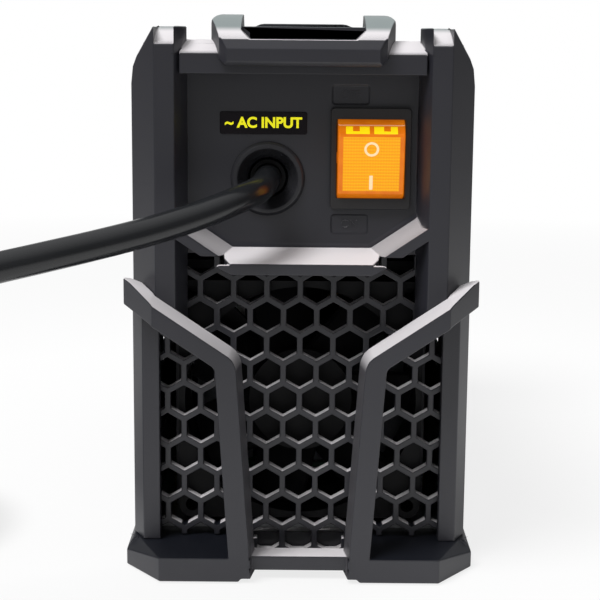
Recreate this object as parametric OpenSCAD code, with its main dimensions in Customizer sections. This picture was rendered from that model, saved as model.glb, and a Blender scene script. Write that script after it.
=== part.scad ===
/* [Overall] */
// Length over the front and rear guards
overall_len = 250; // [230:1:320]
// Width over the pillars of the end frames
frame_w = 109.6; // [106:0.2:140]
// Height of the pillars above the floor
frame_h = 174; // [172:1:215]

/* [End frames] */
// Depth of an end frame, from the guard's face to the end of its skirt
frame_depth = 50; // [48:1:60]
// Wall of the moulded frames
frame_wall = 2.5; // [2:0.1:3.5]
// Thickness of the recessed panel
panel_t = 3; // [2.4:0.1:3.6]
// Distance of the pillar faces behind the guard's face
pillar_set = 10; // [8:0.5:12]
// Distance of the recessed panel behind the guard's face
panel_set = 22; // [20:0.5:24]
// Width of a pillar's flat face
pillar_face = 6.2; // [4:0.2:8]
// Width of the slant outside the upper pillar's face
slant_w = 8.9; // [6:0.1:10]
// Depth of the slant outside the upper pillar's face
slant_depth = 18; // [14:0.5:18]
// Width of the slant inside the upper pillar's face
inner_slant = 2; // [1:0.1:4]
// Width of the slant outside the lower pillar's face
low_slant = 3.8; // [2:0.1:6]
// Rise of the slope over the pillar tops
top_rise = 5.6; // [3:0.1:7]
// Drop of the crossbar below the pillar tops
bar_drop = 4; // [2:0.5:8]
// Height of the crossbar
bar_h = 10.3; // [8:0.1:14]
// Rise of the slope over the crossbar
bar_rise = 4.3; // [3:0.1:5]
// Height of the lip's front edge above the floor
lip_z = 101.7; // [98:0.1:104]
// Half width of the lip's shelf
lip_hw = 24.2; // [22:0.2:27]
// Slope of the wings beside the lip
wing_a = 34; // [28:1:38]

/* [Guard] */
// Distance the guard stands out past the pillars on each side
guard_over = 1.7; // [1:0.1:4]
// Width of the claws
claw_w = 5.4; // [4:0.2:8]
// Width of the arms
arm_w = 6.6; // [5:0.2:8]
// Draft on the claws' upper sides
claw_draft = 1.8; // [1:0.1:3]
// Slope of the claws
claw_a = 33.8; // [30:0.2:38]
// Lean of the arms
arm_lean = 4; // [0:0.5:5]
// Outer radius of the elbow between claw and arm
elbow_r = 6.3; // [5.5:0.1:9]
// Inner radius of the elbow between claw and arm
elbow_in_r = 2.8; // [1:0.1:4]
// Place of the elbow's centre from the middle
elbow_x = 26.4; // [26:0.1:30]
// Height of the elbow's centre
elbow_z = 68.1; // [62:0.1:72]
// Place of the screws that hold the guard, from the middle
guard_screw_x = 36; // [30:0.5:40]
// Height of the ledge that carries the frame
ledge_z = 8; // [7:0.5:10]

/* [Handle] */
// Width of the grip
grip_w = 36; // [30:1:44]
// Thickness of the grip
grip_t = 13; // [11:0.5:16]
// Half width of the handle's end brackets
bracket_hw = 29; // [26:0.2:31]
// Height of the bracket ears above the crossbar
ear_rise = 8; // [6:0.5:10]

/* [Grille] */
// Distance between the middles of two hexagons in a row
hex_pitch = 10.75; // [9:0.05:14]
// Place of the middle hexagon across the grille
hex_mid = -0.35; // [-2:0.05:2]
// Wall between two hexagons
hex_wall = 1.9; // [1.4:0.1:2.5]
// Thickness of the grille and of the socket plate
grille_t = 4; // [3:0.5:5]
// Height of the top row's middles
hex_top = 91; // [88:0.5:94]
// Rows of hexagons below and with the top row
hex_rows = 9; // [6:1:9]

/* [Switch] */
// Place of the switch across the panel
switch_x = 21.6; // [19:0.2:23]
// Height of the switch's middle
switch_z = 133.2; // [130:0.2:136]
// Width of the switch's bezel
bezel_w = 25.4; // [22:0.2:28]
// Height of the switch's bezel
bezel_h = 32; // [30:0.5:36]
// Width of the rocker
rocker_w = 21; // [16:0.2:21]
// Radius of the rocker about its pin
rocker_r = 13; // [11:0.1:13]
// Tilt of the rocker to each side
rocker_tilt = 11; // [6:0.5:12]
// Radius of the rocker's pin
rocker_pin_r = 1.5; // [1:0.1:2]

/* [Mains cord] */
// Diameter of the mains cord
cord_d = 8.6; // [7:0.1:9]
// Place of the gland across the panel
gland_x = -11; // [-13:0.5:-9]
// Height of the gland's middle
gland_z = 126.6; // [124:0.2:129]
// Diameter of the gland's flange
gland_flange_d = 23.6; // [22:0.2:26]
// Diameter of the gland's thread
gland_thread_d = 18; // [17:0.5:19]
// Radius of the coil's outer turn
coil_r = 58; // [56:0.5:66]
// Distance between the middles of two turns
coil_step = 9.2; // [9.2:0.1:10]

/* [Case] */
// Height of the cover's top
cover_top = 138; // [130:1:140]
// Sheet of the cover
cover_t = 0.8; // [0.6:0.1:1.2]
// Sheet of the base tray and the fan bracket
tray_t = 1.2; // [0.8:0.1:1.5]
// Bend radius of the cover's edges
cover_r = 8; // [4:0.5:12]

/* [Fan] */
// Width of the square fan
fan_w = 80; // [60:1:84]
// Depth of the fan
fan_t = 25; // [20:1:25]
// Height of the fan's middle
fan_z = 53; // [52:0.5:55]
// Blades of the fan
fan_blades = 7; // [5:1:9]
// Spacing of the fan's screws
fan_pitch = 71.5; // [50:0.5:75]

/* [Output] */
// Distance of each output socket from the middle
socket_x = 22; // [18:0.5:26]
// Height of the output sockets
socket_z = 46; // [40:0.5:52]
// Radius of the socket's bore
socket_bore_r = 4.6; // [4:0.05:5]
// Diameter of the socket's thread
socket_thread_d = 21.6; // [20:0.2:23]
// Diameter of the current knob
knob_d = 24; // [18:0.5:28]
// Radius of the knob's shaft
shaft_r = 3; // [2.5:0.1:3.2]

/* [Inside] */
// Height of the main board above the tray
board_rise = 10; // [8:0.5:14]
// Thickness of the circuit boards
board_t = 1.6; // [1:0.1:2]
// Length of a heat sink
sink_len = 84; // [80:1:88]
// Height of a heat sink
sink_h = 60; // [50:1:70]
// Diameter of a bus capacitor
cap_d = 25; // [20:0.5:26]

/* [Hidden] */
$fn = 64;

// Clearances
fit = 0.3;
screw_fit = 0.15;
running_fit = 0.05;

// Colours
moulded = [0.1, 0.1, 0.11];
steel = [0.75, 0.76, 0.78];
painted = [0.13, 0.13, 0.14];
amber = [1, 0.6, 0.05];
cord_black = [0.05, 0.05, 0.055];
brass = [0.8, 0.65, 0.3];
copper = [0.8, 0.45, 0.25];
board_green = [0.05, 0.3, 0.15];
aluminium = [0.7, 0.71, 0.73];

// Frame values
hw = frame_w / 2;
guard_hw = hw + guard_over;
pillar_in = hw - slant_w - pillar_face - inner_slant;
inner_slant_depth = 4;
inner_lean = 1.2;
bar_seat = 0.4;
band_set = pillar_set + slant_depth;
band_drop = 0.5;
low_in = hw - low_slant - pillar_face + 0.7;
low_slant_depth = 8;
low_set = pillar_set + 7.5;
plate_hw = hw - 6.2;
skirt_in = hw - frame_wall;
skirt_slope = 8;
bar_set = pillar_set + 1;
bar_top = frame_h - bar_drop;
bar_bottom = bar_top - bar_h;
roof_start = panel_set + 10;
roof_t = frame_wall * 1.4;
skirt_top = cover_top + fit + roof_t;
corner_drop = 18;
shoulder_low = [0.7, 12.6];
shoulder_high = [2.2, 9.4];
slope_from = 118;
slope_to = 92;
side_screw_rise = 12;
side_screw_drop = 16;

// Lip and wing values
lip_set = 4;
lip_t = 3.5;
lip_rise = 3.3;
lip_corner = 2.2;
lip_edge_t = 2.5;
lip_edge_drop = 0.5;
lip_ear = 2.4;
panel_fillet = 1.2;
shelf_slope = lip_rise / (panel_set - lip_set);
wing_t = 3.3;
wing_fall = 4.1;
wing_low = lip_z + 1.4;
wing_x = lip_hw - 2.2;
wing_back_z = lip_z + lip_rise + 0.4;
wing_slope = wing_fall / (panel_set - pillar_set);
wing_far = pillar_in + inner_slant + 1;

// Guard values
elbow = [elbow_x, elbow_z];
arm_out = [-cos(arm_lean), sin(arm_lean)];
claw_up = [-sin(claw_a), cos(claw_a)];
elbow_skew = arm_out * claw_up;
elbow_arm = arm_w + elbow_in_r - elbow_r;
elbow_claw = claw_w + elbow_in_r - elbow_r;
elbow_in = elbow - ((elbow_arm - elbow_skew * elbow_claw) * arm_out
    + (elbow_claw - elbow_skew * elbow_arm) * claw_up) / (1 - elbow_skew * elbow_skew);
bend_x = guard_hw - 9.5;
guard_slant = 15;
claw_wrap = pillar_set + slant_depth / 2 + 1;
claw_end_rise = 3.9;
draft_depth = 12;
foot_corner_x = 19.3;
foot_in_x = 15.5;
foot_in_z = 4.3;
foot_front_z = 7.8;
foot_slope = 12;
foot_end_z = 5.2;
foot_bevel = 5;
arm_low = 1;
bar_low = 2.6;
bar_face = 4;
bar_front_z = 7.2;
bar_back_z = 7.5;
bar_end = 12;
claw_back_x = pillar_in - 1.1;
web_low = 1;
web_set = panel_set + grille_t + fit;
guard_screw_set = frame_depth - 8;

// Hexagon values
hex_row = hex_pitch * sqrt(3) / 2;
hex_r = (hex_pitch - hex_wall) / sqrt(3);
grille_top = lip_z + 0.4;
grille_edge = 1.2;
tongue_hw = foot_in_x - fit;
tongue_z = 2;

// Handle values
hook_face = lip_set + 1;
notch_end = bar_set + 9;
hook_bottom = bar_bottom + 2.5;
hook_corner = 4.2;
hook_edge = 1.2;
hook_chamfer = 2.7;
hook_side = 5.7;
hook_side_depth = 3.2;
ear_taper = 3.3;
ear_taper_end = notch_end + 5;
ear_round = 3;
ear_top = bar_top + ear_rise;
ear_set = hook_face + 2;
ear_in = 19.2;
ear_chamfer = 2.8;
front_ear_drop = 2.5;
notch_z = bar_top + 0.1;
grip_top = ear_top - 2.7;
grip_low = grip_top - grip_t;
grip_r = 5;
neck_hw = grip_w / 2 - 2;
neck_top = grip_top - 1.2;
neck_low = grip_low + 1.2;
neck_end = frame_depth + 6;
handle_screw_x = 22.5;
handle_screw_set = bar_set + 5.5;
handle_seat = bar_bottom + 3.5;
handle_screw_len = 9;
handle_screw_top = bar_top + 3;
screw_r = 2;
screw_head_r = 3.8;
screw_head_t = 2.4;
low_head_t = 1.6;
guard_screw_seat = screw_head_t + 0.6;

// Switch values
bezel_proud = 2;
pin_set = panel_set - bezel_proud + 5;
body_wall = 1;
body_h = 2 * (rocker_r + fit) + 2 * body_wall - 0.2;
body_w = rocker_w + 2 * fit + 2 * body_wall;
body_end = pin_set + 12;
rocker_face = rocker_r * cos(47.3);
rocker_back = 1.5;
terminal_w = 6.3;
terminal_t = 0.8;
terminal_len = 8;
terminal_x = 5.5;
terminal_z = 6;
bezel_corner = 1.2;
word_w = 11.6;
word_h = 6;
word_x = switch_x - 6.5;
word_deep = 0.5;
off_rise = 4;
on_drop = 5;
label_w = 27.6;
label_h = 7.1;
label_corner = 0.7;
label_t = 0.4;
label_x = gland_x - 1.4;
label_z = gland_z + 17.55;

// Gland values
gland_proud = 1.6;
gland_mouth_r = 9.6;
gland_hole_r = 6.35;
gland_end = panel_set + 14;
relief_start = panel_set + 5;
relief_end = panel_set + 27;
relief_bore_r = cord_d / 2 + 0.15;
gland_nut_r = 12.5;
gland_nut_t = 5;

// Case values
tray_hw = skirt_in - fit - cover_t - 0.2;
tray_set = 31;
tray_side = 22;
cover_hw = skirt_in - fit;
cover_set = frame_depth - 12;
cover_low = ledge_z + fit;
tray_top = ledge_z + tray_t;
frame_screw_set = frame_depth - 5;

// Fan values
fan_set = panel_set + grille_t + fit;
fan_end = fan_set + fan_t;
fan_bore_r = fan_w / 2 - 2;
blade_r = fan_bore_r - 1.2;
hub_r = 17;
fan_shaft_r = 1.5;
fan_screw_r = 2;
fan_screw_len = 12;
blade_pitch = 38;
blade_t = 1.8;
blade_w = 22;

// Front panel values
knob_x = 18;
knob_z = 129;
knob_face = panel_set - 15;
window_x = -14;
window_z = 131;
window_w = 34;
window_h = 16;
lamp_r = 2.5;
lamp_z = 115;
lamp_xs = [-24, -14, -4];
control_set = panel_set + 24;
pot_set = panel_set + panel_t + 5;
pot_r = 8;
pot_thread_r = shaft_r + 1.2;
pot_nut_r = 6.5;
pot_nut_t = 3;
window_rim = 1.5;
window_proud = 1;
knob_ribs = 12;
knob_rib_r = 1.2;
control_hw = 34;

// Board values
board_z = tray_top + board_rise;
board_top = board_z + board_t;
board_hw = tray_hw - 4;
board_back = -overall_len / 2 + fan_end + 14;
board_front = overall_len / 2 - frame_depth - 10;
sink_y = board_front - 8 - sink_len;
sink_x = 21;
sink_base = 5;
sink_fins = 9;
fin_t = 1.6;
fin_rise = 8;
sink_out = board_hw - 2;

// Coil of the cord that is put away
coil_at = [-171, 45];
coil_sides = 6;
coil_rings = 24;
coil_in_turns = 2.5;
coil_out_turns = 2.625;
tie_t = 1.2;
tie_w = 12;
coil_z = cord_d / 2 + tie_t + 0.4;
coil_turn_in = 360 * coil_in_turns;
coil_turn_over = coil_turn_in + 180;
coil_turn_end = coil_turn_over + 360 * coil_out_turns;
coil_inner = coil_r - coil_step * coil_in_turns;
tail_len = 22;

// Cord route from the strain relief's inner end to the coil, measured from the guard's rear face
cord_route = [
    [gland_x, 44, gland_z], [gland_x, 33, gland_z], [-11.2, 21, 126.2], [-13.5, 8, 124.4], [-20.5, -4, 122],
    [-31, -13.5, 118.6], [-44, -24.5, 115.4], [-58, -36, 112.8], [-72, -47.5, 110.6], [-87, -57.5, 108],
    [-103, -65.5, 104], [-121, -70.5, 98], [-139, -72, 90], [-157, -70.5, 80.5], [-174, -65.5, 69.5],
    [-189, -57, 58], [-201.5, -45, 46], [-212, -32, 34], [-219.5, -17.5, 23.5], [-225, -2, 14.5],
    [-228, 14, 8.8], [-229, 26, 6.5], [coil_at[0] - coil_r, coil_at[1] - cord_d, coil_z]
];
cord_sides = 10;

// Plug values
plug_r = 18.5;
plug_len = 36;
plug_sleeve = 22;
plug_z = plug_r + 0.1;
plug_pin_r = 2.4;
plug_pin_gap = 19;
plug_pin_len = 31;
plug_pin_seat = plug_sleeve + plug_len - 12;

function arc(middle, r, from, to, steps) =
    [for (i = [0:steps]) let (a = from + (to - from) * i / steps) middle + r * [cos(a), sin(a)]];
function unit(v) = v / norm(v);
function reversed(list) = [for (i = [len(list) - 1:-1:0]) list[i]];
// A long round slope of depth and height that starts steep and ends nearly level, for a given rise
function slope_r(rise) = rise / (sin(slope_to) - sin(slope_from));
function slope_run(rise) = slope_r(rise) * (cos(slope_to) - cos(slope_from));
function slope(start, rise, steps = 8) = [for (i = [0:steps])
    let (a = slope_from + (slope_to - slope_from) * i / steps)
    start + slope_r(rise) * [cos(a) - cos(slope_from), sin(a) - sin(slope_from)]];
function rounded(w, h, r, steps = 6) = concat(
    arc([w / 2 - r, h / 2 - r], r, 0, 90, steps), arc([r - w / 2, h / 2 - r], r, 90, 180, steps),
    arc([r - w / 2, r - h / 2], r, 180, 270, steps), arc([w / 2 - r, r - h / 2], r, 270, 360, steps));

// An outline across and up, drawn out over a stretch of depth
module across(from, to) translate([0, to, 0]) rotate([90, 0, 0]) linear_extrude(to - from) children();
// An outline of depth and height, drawn out over a stretch of width
module along(from, to) translate([from, 0, 0]) rotate([90, 0, 90]) linear_extrude(to - from) children();
module both_sides() {
    children();
    mirror([1, 0, 0]) children();
}
module at_rear() translate([0, -overall_len / 2, 0]) children();
module at_front() rotate([0, 0, 180]) translate([0, -overall_len / 2, 0]) children();
module both_ends() {
    at_rear() children();
    at_front() children();
}
// A round bar along the depth
module rod(x, z, from, to, r) translate([x, from, z]) rotate([-90, 0, 0]) cylinder(r = r, h = to - from);
// A turned shape about a line along the depth, from an outline of radius and depth
module turned(x, z) translate([x, 0, z]) rotate([-90, 0, 0]) rotate_extrude() children();
module block(x, y, z) translate([x[0], y[0], z[0]]) cube([x[1] - x[0], y[1] - y[0], z[1] - z[0]]);
// A screw along -Z whose head's underside is at the origin
module screw(r, head_r, head_t, len) {
    cylinder(r = head_r, h = head_t);
    translate([0, 0, -len]) cylinder(r = r, h = len + 0.01);
}

// A tube round a list of points, with a ring at each point
module tube(points, r, sides) {
    last = len(points) - 1;
    rings = [for (i = [0:last])
        let (
            forward = unit(points[min(i + 1, last)] - points[max(i - 1, 0)]),
            side = unit(cross(forward, [0, 0, 1])),
            up = cross(side, forward)
        )
        for (k = [0:sides - 1]) points[i] + r * (cos(360 * k / sides) * side + sin(360 * k / sides) * up)];
    walls = [for (i = [0:last - 1]) for (k = [0:sides - 1])
        let (a = i * sides + k, b = i * sides + (k + 1) % sides)
        each [[a, b, b + sides], [a, b + sides, a + sides]]];
    ends = [for (k = [1:sides - 2]) each [[0, k + 1, k], [last * sides, last * sides + k, last * sides + k + 1]]];
    polyhedron(points = rings, faces = concat(walls, ends));
}

// End frames

module upper_pillar_plan() polygon([
    [hw, frame_depth], [hw, pillar_set + slant_depth], [hw - slant_w, pillar_set],
    [hw - slant_w - pillar_face, pillar_set], [pillar_in, pillar_set + inner_slant_depth],
    [pillar_in - inner_lean, panel_set], [plate_hw, panel_set], [skirt_in, panel_set + skirt_slope],
    [skirt_in, frame_depth]]);

module lower_pillar_plan() polygon([
    [hw, frame_depth], [hw, low_set + low_slant_depth], [hw - low_slant, low_set],
    [low_in, low_set], [low_in, panel_set], [plate_hw, panel_set],
    [skirt_in, panel_set + skirt_slope], [skirt_in, frame_depth]]);

// Line behind the claw where the lower pillar gives way to the upper one
claw_mid_low = [elbow_x, claw_line(elbow_r - claw_w / 2, elbow_x)];
claw_mid_bend = [bend_x, claw_line(elbow_r - claw_w / 2, bend_x)];
claw_mid_end = [guard_hw, claw_mid_bend[1] + claw_end_rise];

// Outline of the shoulder that the pillars and the roof share
function shoulder(top) = [
    [hw + 1, top - corner_drop], [hw, top - corner_drop], [hw - shoulder_low[0], top - shoulder_low[1]],
    [hw - shoulder_high[0], top - shoulder_high[1]], [hw - slant_w, top]];

// A pillar with a slope over its flat face only; the slants beside it run up to the top
module upper_pillar(top) difference() {
    crest = max(roof_start, pillar_set + slope_run(top_rise) + 1);
    intersection() {
        union() {
            linear_extrude(top) upper_pillar_plan();
            block([pillar_in, hw], [panel_set - 1, crest + 1], [bar_top - roof_t, top]);
        }
        across(0, frame_depth) polygon(concat(
            [claw_mid_low, claw_mid_bend, claw_mid_end], shoulder(top), [[elbow_x, top]]));
        along(0, hw + 1) polygon([
            [pillar_set, ledge_z], [pillar_set, top], [crest, top], [frame_depth, skirt_top],
            [frame_depth, ledge_z]]);
    }
    along(hw - slant_w - pillar_face, hw - slant_w) polygon(concat(
        slope([pillar_set, top - top_rise], top_rise),
        [[pillar_set + slope_run(top_rise), top + 1], [pillar_set - 1, top + 1],
         [pillar_set - 1, top - top_rise]]));
}

module lower_pillar() intersection() {
    linear_extrude(frame_h) lower_pillar_plan();
    across(0, frame_depth) polygon([
        [elbow_x, ledge_z], [hw + 1, ledge_z], claw_mid_end, claw_mid_bend, claw_mid_low]);
}

bar_slope = slope([bar_set, bar_top - bar_rise], bar_rise);
bar_slope_end = bar_set + slope_run(bar_rise);

module crossbar() along(-pillar_in - bar_seat, pillar_in + bar_seat) polygon(concat(
    [[panel_set, bar_bottom], [bar_set, bar_bottom]], bar_slope,
    [[roof_start, bar_top], [roof_start, bar_top - panel_t], [panel_set, bar_top - panel_t]]));

module roof(top) intersection() {
    along(-hw, hw) polygon([
        [bar_slope_end, bar_top], [roof_start, bar_top], [frame_depth, skirt_top], [frame_depth, cover_top + fit],
        [frame_depth - 1.4, cover_top + fit], [roof_start - 1, bar_top - roof_t], [panel_set, bar_top - roof_t]]);
    across(0, frame_depth) both_sides() polygon(concat(
        [[-1, top], [-1, cover_top], [hw + 1, cover_top]], shoulder(top)));
    linear_extrude(frame_h) both_sides() polygon([
        [-1, panel_set], [plate_hw + 2, panel_set], [hw - 1, panel_set + skirt_slope], [hw - 1, frame_depth],
        [-1, frame_depth]]);
}

// Band under the shoulder that joins the roof to the pillars
module shoulder_wall(top) intersection() {
    edge = [for (i = [1:4]) shoulder(top)[i]];
    across(band_set, frame_depth) polygon(concat(edge, [for (p = reversed(edge)) p - [roof_t, roof_t]]));
    along(0, hw) polygon([
        [band_set, cover_top], [band_set, top - band_drop], [roof_start, top], [frame_depth, skirt_top],
        [frame_depth, cover_top]]);
}

module recessed_panel() block([-plate_hw - 1.5, plate_hw + 1.5], [panel_set, panel_set + panel_t],
    [grille_top + fit, bar_top - 1]);

// Shelf under the recess with its corners cut off, and the edge in front of it
module lip() {
    fillet_set = panel_set - panel_fillet;
    fillet_z = lip_z + shelf_slope * (fillet_set - lip_set);
    intersection() {
        along(-lip_hw, lip_hw) polygon([
            [lip_set, lip_z - lip_t], [lip_set, lip_z], [fillet_set, fillet_z],
            [panel_set, fillet_z + panel_fillet], [panel_set + 1, fillet_z + panel_fillet],
            [panel_set + 1, grille_top + 2 * fit], [panel_set, grille_top + 2 * fit],
            [panel_set, grille_top - 1], [lip_set + lip_edge_t, lip_z - lip_t]]);
        linear_extrude(frame_h) both_sides() polygon([
            [-1, lip_set], [lip_hw - lip_corner, lip_set], [lip_hw, pillar_set], [lip_hw, panel_set + 1],
            [-1, panel_set + 1]]);
    }
    across(lip_set, lip_set + lip_edge_t) both_sides() polygon([
        [-1, lip_z - lip_t], [lip_hw - lip_corner, lip_z - lip_t], [lip_hw + lip_ear, lip_z - 2 * lip_edge_drop],
        [lip_hw + lip_ear - 1, lip_z - lip_edge_drop], [-1, lip_z - lip_edge_drop]]);
}

module wing() intersection() {
    translate([wing_x, 0, wing_back_z]) rotate([0, -wing_a, 0])
        along(-10, (wing_far - wing_x) / cos(wing_a) + 6) polygon([
            [pillar_set, -wing_fall], [panel_set - panel_fillet, -wing_slope * panel_fillet],
            [panel_set, panel_fillet - wing_slope * panel_fillet],
            [panel_set + 1, panel_fillet - wing_slope * panel_fillet],
            [panel_set + 1, -wing_t], [pillar_set, -wing_fall - wing_t]]);
    across(0, frame_depth) polygon([
        [wing_x - 4, wing_low], [wing_far, wing_low], [wing_far, bar_bottom], [wing_x - 4, bar_bottom]]);
}

frame_screw_zs = [ledge_z + side_screw_rise, cover_top - side_screw_drop];

module frame_screw_holes() both_sides() for (z = frame_screw_zs)
    translate([skirt_in - 6, frame_screw_set, z]) rotate([0, 90, 0]) cylinder(r = screw_r + screw_fit, h = 12);

// Holes up through the crossbar, each with a pocket for the screw's head
module handle_screw_holes() both_sides() translate([handle_screw_x, handle_screw_set, bar_bottom - 1]) {
    cylinder(r = screw_r + screw_fit, h = bar_h + 2);
    cylinder(r = screw_head_r + fit, h = handle_seat - bar_bottom + 1);
}

// A frame whose pillars end at a given height, with the cutouts that its children draw
module end_frame(top) difference() {
    union() {
        both_sides() {
            upper_pillar(top);
            lower_pillar();
            wing();
            shoulder_wall(top);
        }
        crossbar();
        roof(top);
        recessed_panel();
        lip();
    }
    frame_screw_holes();
    handle_screw_holes();
    children();
}

// Shallow recess for a word beside the switch
module word_recess(z) translate([word_x, panel_set + word_deep, z]) rotate([90, 0, 0])
    linear_extrude(1) polygon(rounded(word_w, word_h, 1));

module rear_frame() color(moulded) at_rear() end_frame(frame_h) {
    rod(gland_x, gland_z, 0, frame_depth, gland_thread_d / 2 + screw_fit);
    block([switch_x - body_w / 2 - fit, switch_x + body_w / 2 + fit], [panel_set - 1, panel_set + panel_t + 1],
        [switch_z - body_h / 2 - fit, switch_z + body_h / 2 + fit]);
    word_recess(switch_z + bezel_h / 2 + off_rise);
    word_recess(switch_z - bezel_h / 2 - on_drop);
}

// The front pillars end level with their crossbar
module front_frame() color(moulded) at_front() end_frame(bar_top) {
    rod(knob_x, knob_z, 0, frame_depth, pot_thread_r + screw_fit);
    window_block(window_rim, panel_set - 1, panel_set + panel_t + 1);
    for (x = lamp_xs) rod(x, lamp_z, 0, frame_depth, lamp_r + screw_fit);
}

// Grille and socket plate

// The plate between the pillars, with a tongue down between the feet; the inset leaves its upper and side
// windows open at their ends
module plate_outline(inset) {
    side = plate_hw - fit - inset;
    tongue = tongue_hw - inset;
    step_z = ledge_z + fit - inset;
    polygon([
        [-side, step_z], [-tongue, step_z], [-tongue, tongue_z + inset], [tongue, tongue_z + inset],
        [tongue, step_z], [side, step_z], [side, grille_top + inset], [-side, grille_top + inset]]);
}

module hexagons() for (row = [-1:hex_rows]) for (i = [-6:6]) {
    x = hex_mid + (i + (row % 2 == 0 ? 0.5 : 0)) * hex_pitch;
    if (abs(x) < plate_hw + hex_r)
        translate([x, hex_top - row * hex_row]) rotate(30) circle(r = hex_r, $fn = 6);
}

module rear_grille() color(moulded) at_rear() across(panel_set, panel_set + grille_t) difference() {
    plate_outline(0);
    intersection() {
        hexagons();
        plate_outline(grille_edge);
    }
}

module socket_plate() color(moulded) at_front() difference() {
    across(panel_set, panel_set + grille_t) plate_outline(0);
    both_sides() rod(socket_x, socket_z, 0, frame_depth, socket_thread_d / 2 + screw_fit);
}

// Guards

function arm_line(r, z) = let (p = elbow + r * arm_out) p[0] + (z - p[1]) * tan(arm_lean);
function claw_line(r, x) = let (p = elbow + r * claw_up) p[1] + (x - p[0]) * tan(claw_a);

// Front edge of a claw's upper side, from the foot round the elbow to the outer end
claw_bend = [bend_x, claw_line(elbow_r, bend_x)];
claw_edge = concat(
    [[arm_line(elbow_r, 0), 0]],
    arc(elbow, elbow_r, 180 - arm_lean, 90 + claw_a, 8),
    [claw_bend, [guard_hw, claw_bend[1] + claw_end_rise]]);

// Outline with spare material on the upper side, which the draft cuts away
claw_spare = claw_draft + 2;
claw_outline = concat(
    [[arm_line(elbow_r + claw_spare, arm_low), arm_low]],
    arc(elbow, elbow_r + claw_spare, 180 - arm_lean, 90 + claw_a, 4),
    [[bend_x, claw_line(elbow_r + claw_spare, bend_x)],
     [guard_hw, claw_line(elbow_r + claw_spare, bend_x) + claw_end_rise],
     [guard_hw, claw_line(elbow_r - claw_w, bend_x) + claw_end_rise],
     [bend_x, claw_line(elbow_r - claw_w, bend_x)]],
    arc(elbow_in, elbow_in_r, 90 + claw_a, 180 - arm_lean, 6),
    [[arm_line(elbow_r - arm_w, arm_low), arm_low]]);

// Cut along one straight stretch of the edge: slanted in front, then square
module draft_cut(from, to) translate([from[0], from[1], 0])
    rotate([0, 0, atan2(to[1] - from[1], to[0] - from[0])])
        along(-3, norm(to - from) + 3) polygon([
            [0, 0], [claw_draft, -draft_depth], [claw_draft, -panel_set - 1], [claw_spare + 4, -panel_set - 1],
            [claw_spare + 4, 1], [0, 1]]);

module claw() rotate([90, 0, 0]) difference() {
    translate([0, 0, -panel_set]) linear_extrude(panel_set) polygon(claw_outline);
    for (i = [0:len(claw_edge) - 2]) draft_cut(claw_edge[i], claw_edge[i + 1]);
}

// Part of a claw that hugs its pillar
module claw_end() difference() {
    intersection() {
        claw();
        linear_extrude(frame_h) polygon([
            [claw_back_x, 0], [guard_hw - 10.5, 0], [guard_hw, guard_slant], [guard_hw, claw_wrap - 3],
            [guard_hw - 2, claw_wrap],
            [hw - slant_w + (claw_wrap - pillar_set) * slant_w / slant_depth, claw_wrap],
            [hw - slant_w, pillar_set], [claw_back_x, pillar_set]]);
    }
    lower_pillar();
}

// Part of a claw inside the window, down to the foot
module claw_arm() intersection() {
    claw();
    linear_extrude(frame_h) polygon([[0, 0], [claw_back_x, 0], [claw_back_x, pillar_set], [0, pillar_set]]);
}

foot_corner = [guard_hw - 12, 0];
foot_end = [guard_hw, guard_slant + 1];

// Cut along the foot's upper edge, which falls from one height to another and slopes up to the ledge
module foot_edge(from, to, from_z, to_z, run) translate([from[0], from[1], from_z])
    rotate([0, 0, atan2(to[1] - from[1], to[0] - from[0])])
        rotate([0, atan2(from_z - to_z, norm(to - from)), 0]) along(-1, norm(to - from) + 1) polygon([
            [-1, 0], [0, 0], [run, ledge_z - to_z], [run, ledge_z], [-1, ledge_z]]);

module foot() difference() {
    intersection() {
        linear_extrude(ledge_z) polygon([
            [foot_in_x, 0], foot_corner, foot_end, [guard_hw, frame_depth], [foot_in_x, frame_depth]]);
        along(0, guard_hw) polygon([
            [0, 0], [0, foot_front_z], [foot_slope, ledge_z], [frame_depth, ledge_z], [frame_depth, 0]]);
        across(0, frame_depth) polygon([
            [foot_in_x, foot_in_z], [foot_corner_x, 0], [guard_hw, 0], [guard_hw, ledge_z],
            [foot_in_x, ledge_z]]);
    }
    foot_edge(foot_corner, foot_end, foot_front_z, foot_end_z, foot_bevel);
    foot_edge(foot_end, [guard_hw, frame_depth], foot_end_z, foot_end_z, guard_over);
}

module guard_screw_holes() both_sides() translate([guard_screw_x, guard_screw_set, -1]) {
    cylinder(r = screw_r + screw_fit, h = ledge_z + 10);
    cylinder(r = screw_head_r + fit, h = guard_screw_seat + 1);
}

module guard() difference() {
    union() {
        both_sides() {
            foot();
            children();
        }
        along(-foot_in_x - 1, foot_in_x + 1) {
            polygon([[bar_face, bar_low], [bar_face, bar_front_z], [bar_end, bar_back_z], [bar_end, bar_low]]);
            polygon([[web_set, web_low], [web_set, ledge_z], [frame_depth, ledge_z], [frame_depth, web_low]]);
        }
    }
    guard_screw_holes();
}

module rear_guard() color(moulded) at_rear() guard() {
    claw_end();
    claw_arm();
}
module front_guard() color(moulded) at_front() guard();
module front_bumpers() color(moulded) at_front() both_sides() claw_end();
module guard_screws() color(steel) both_ends() both_sides()
    translate([guard_screw_x, guard_screw_set, guard_screw_seat]) rotate([180, 0, 0])
        screw(screw_r, screw_head_r, screw_head_t, ledge_z + 2);
module frame_screws() color(steel) both_ends() both_sides() for (z = frame_screw_zs)
    translate([hw, frame_screw_set, z]) rotate([0, 90, 0])
        screw(screw_r, screw_head_r, low_head_t, frame_wall + 5);

// Handle

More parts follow.
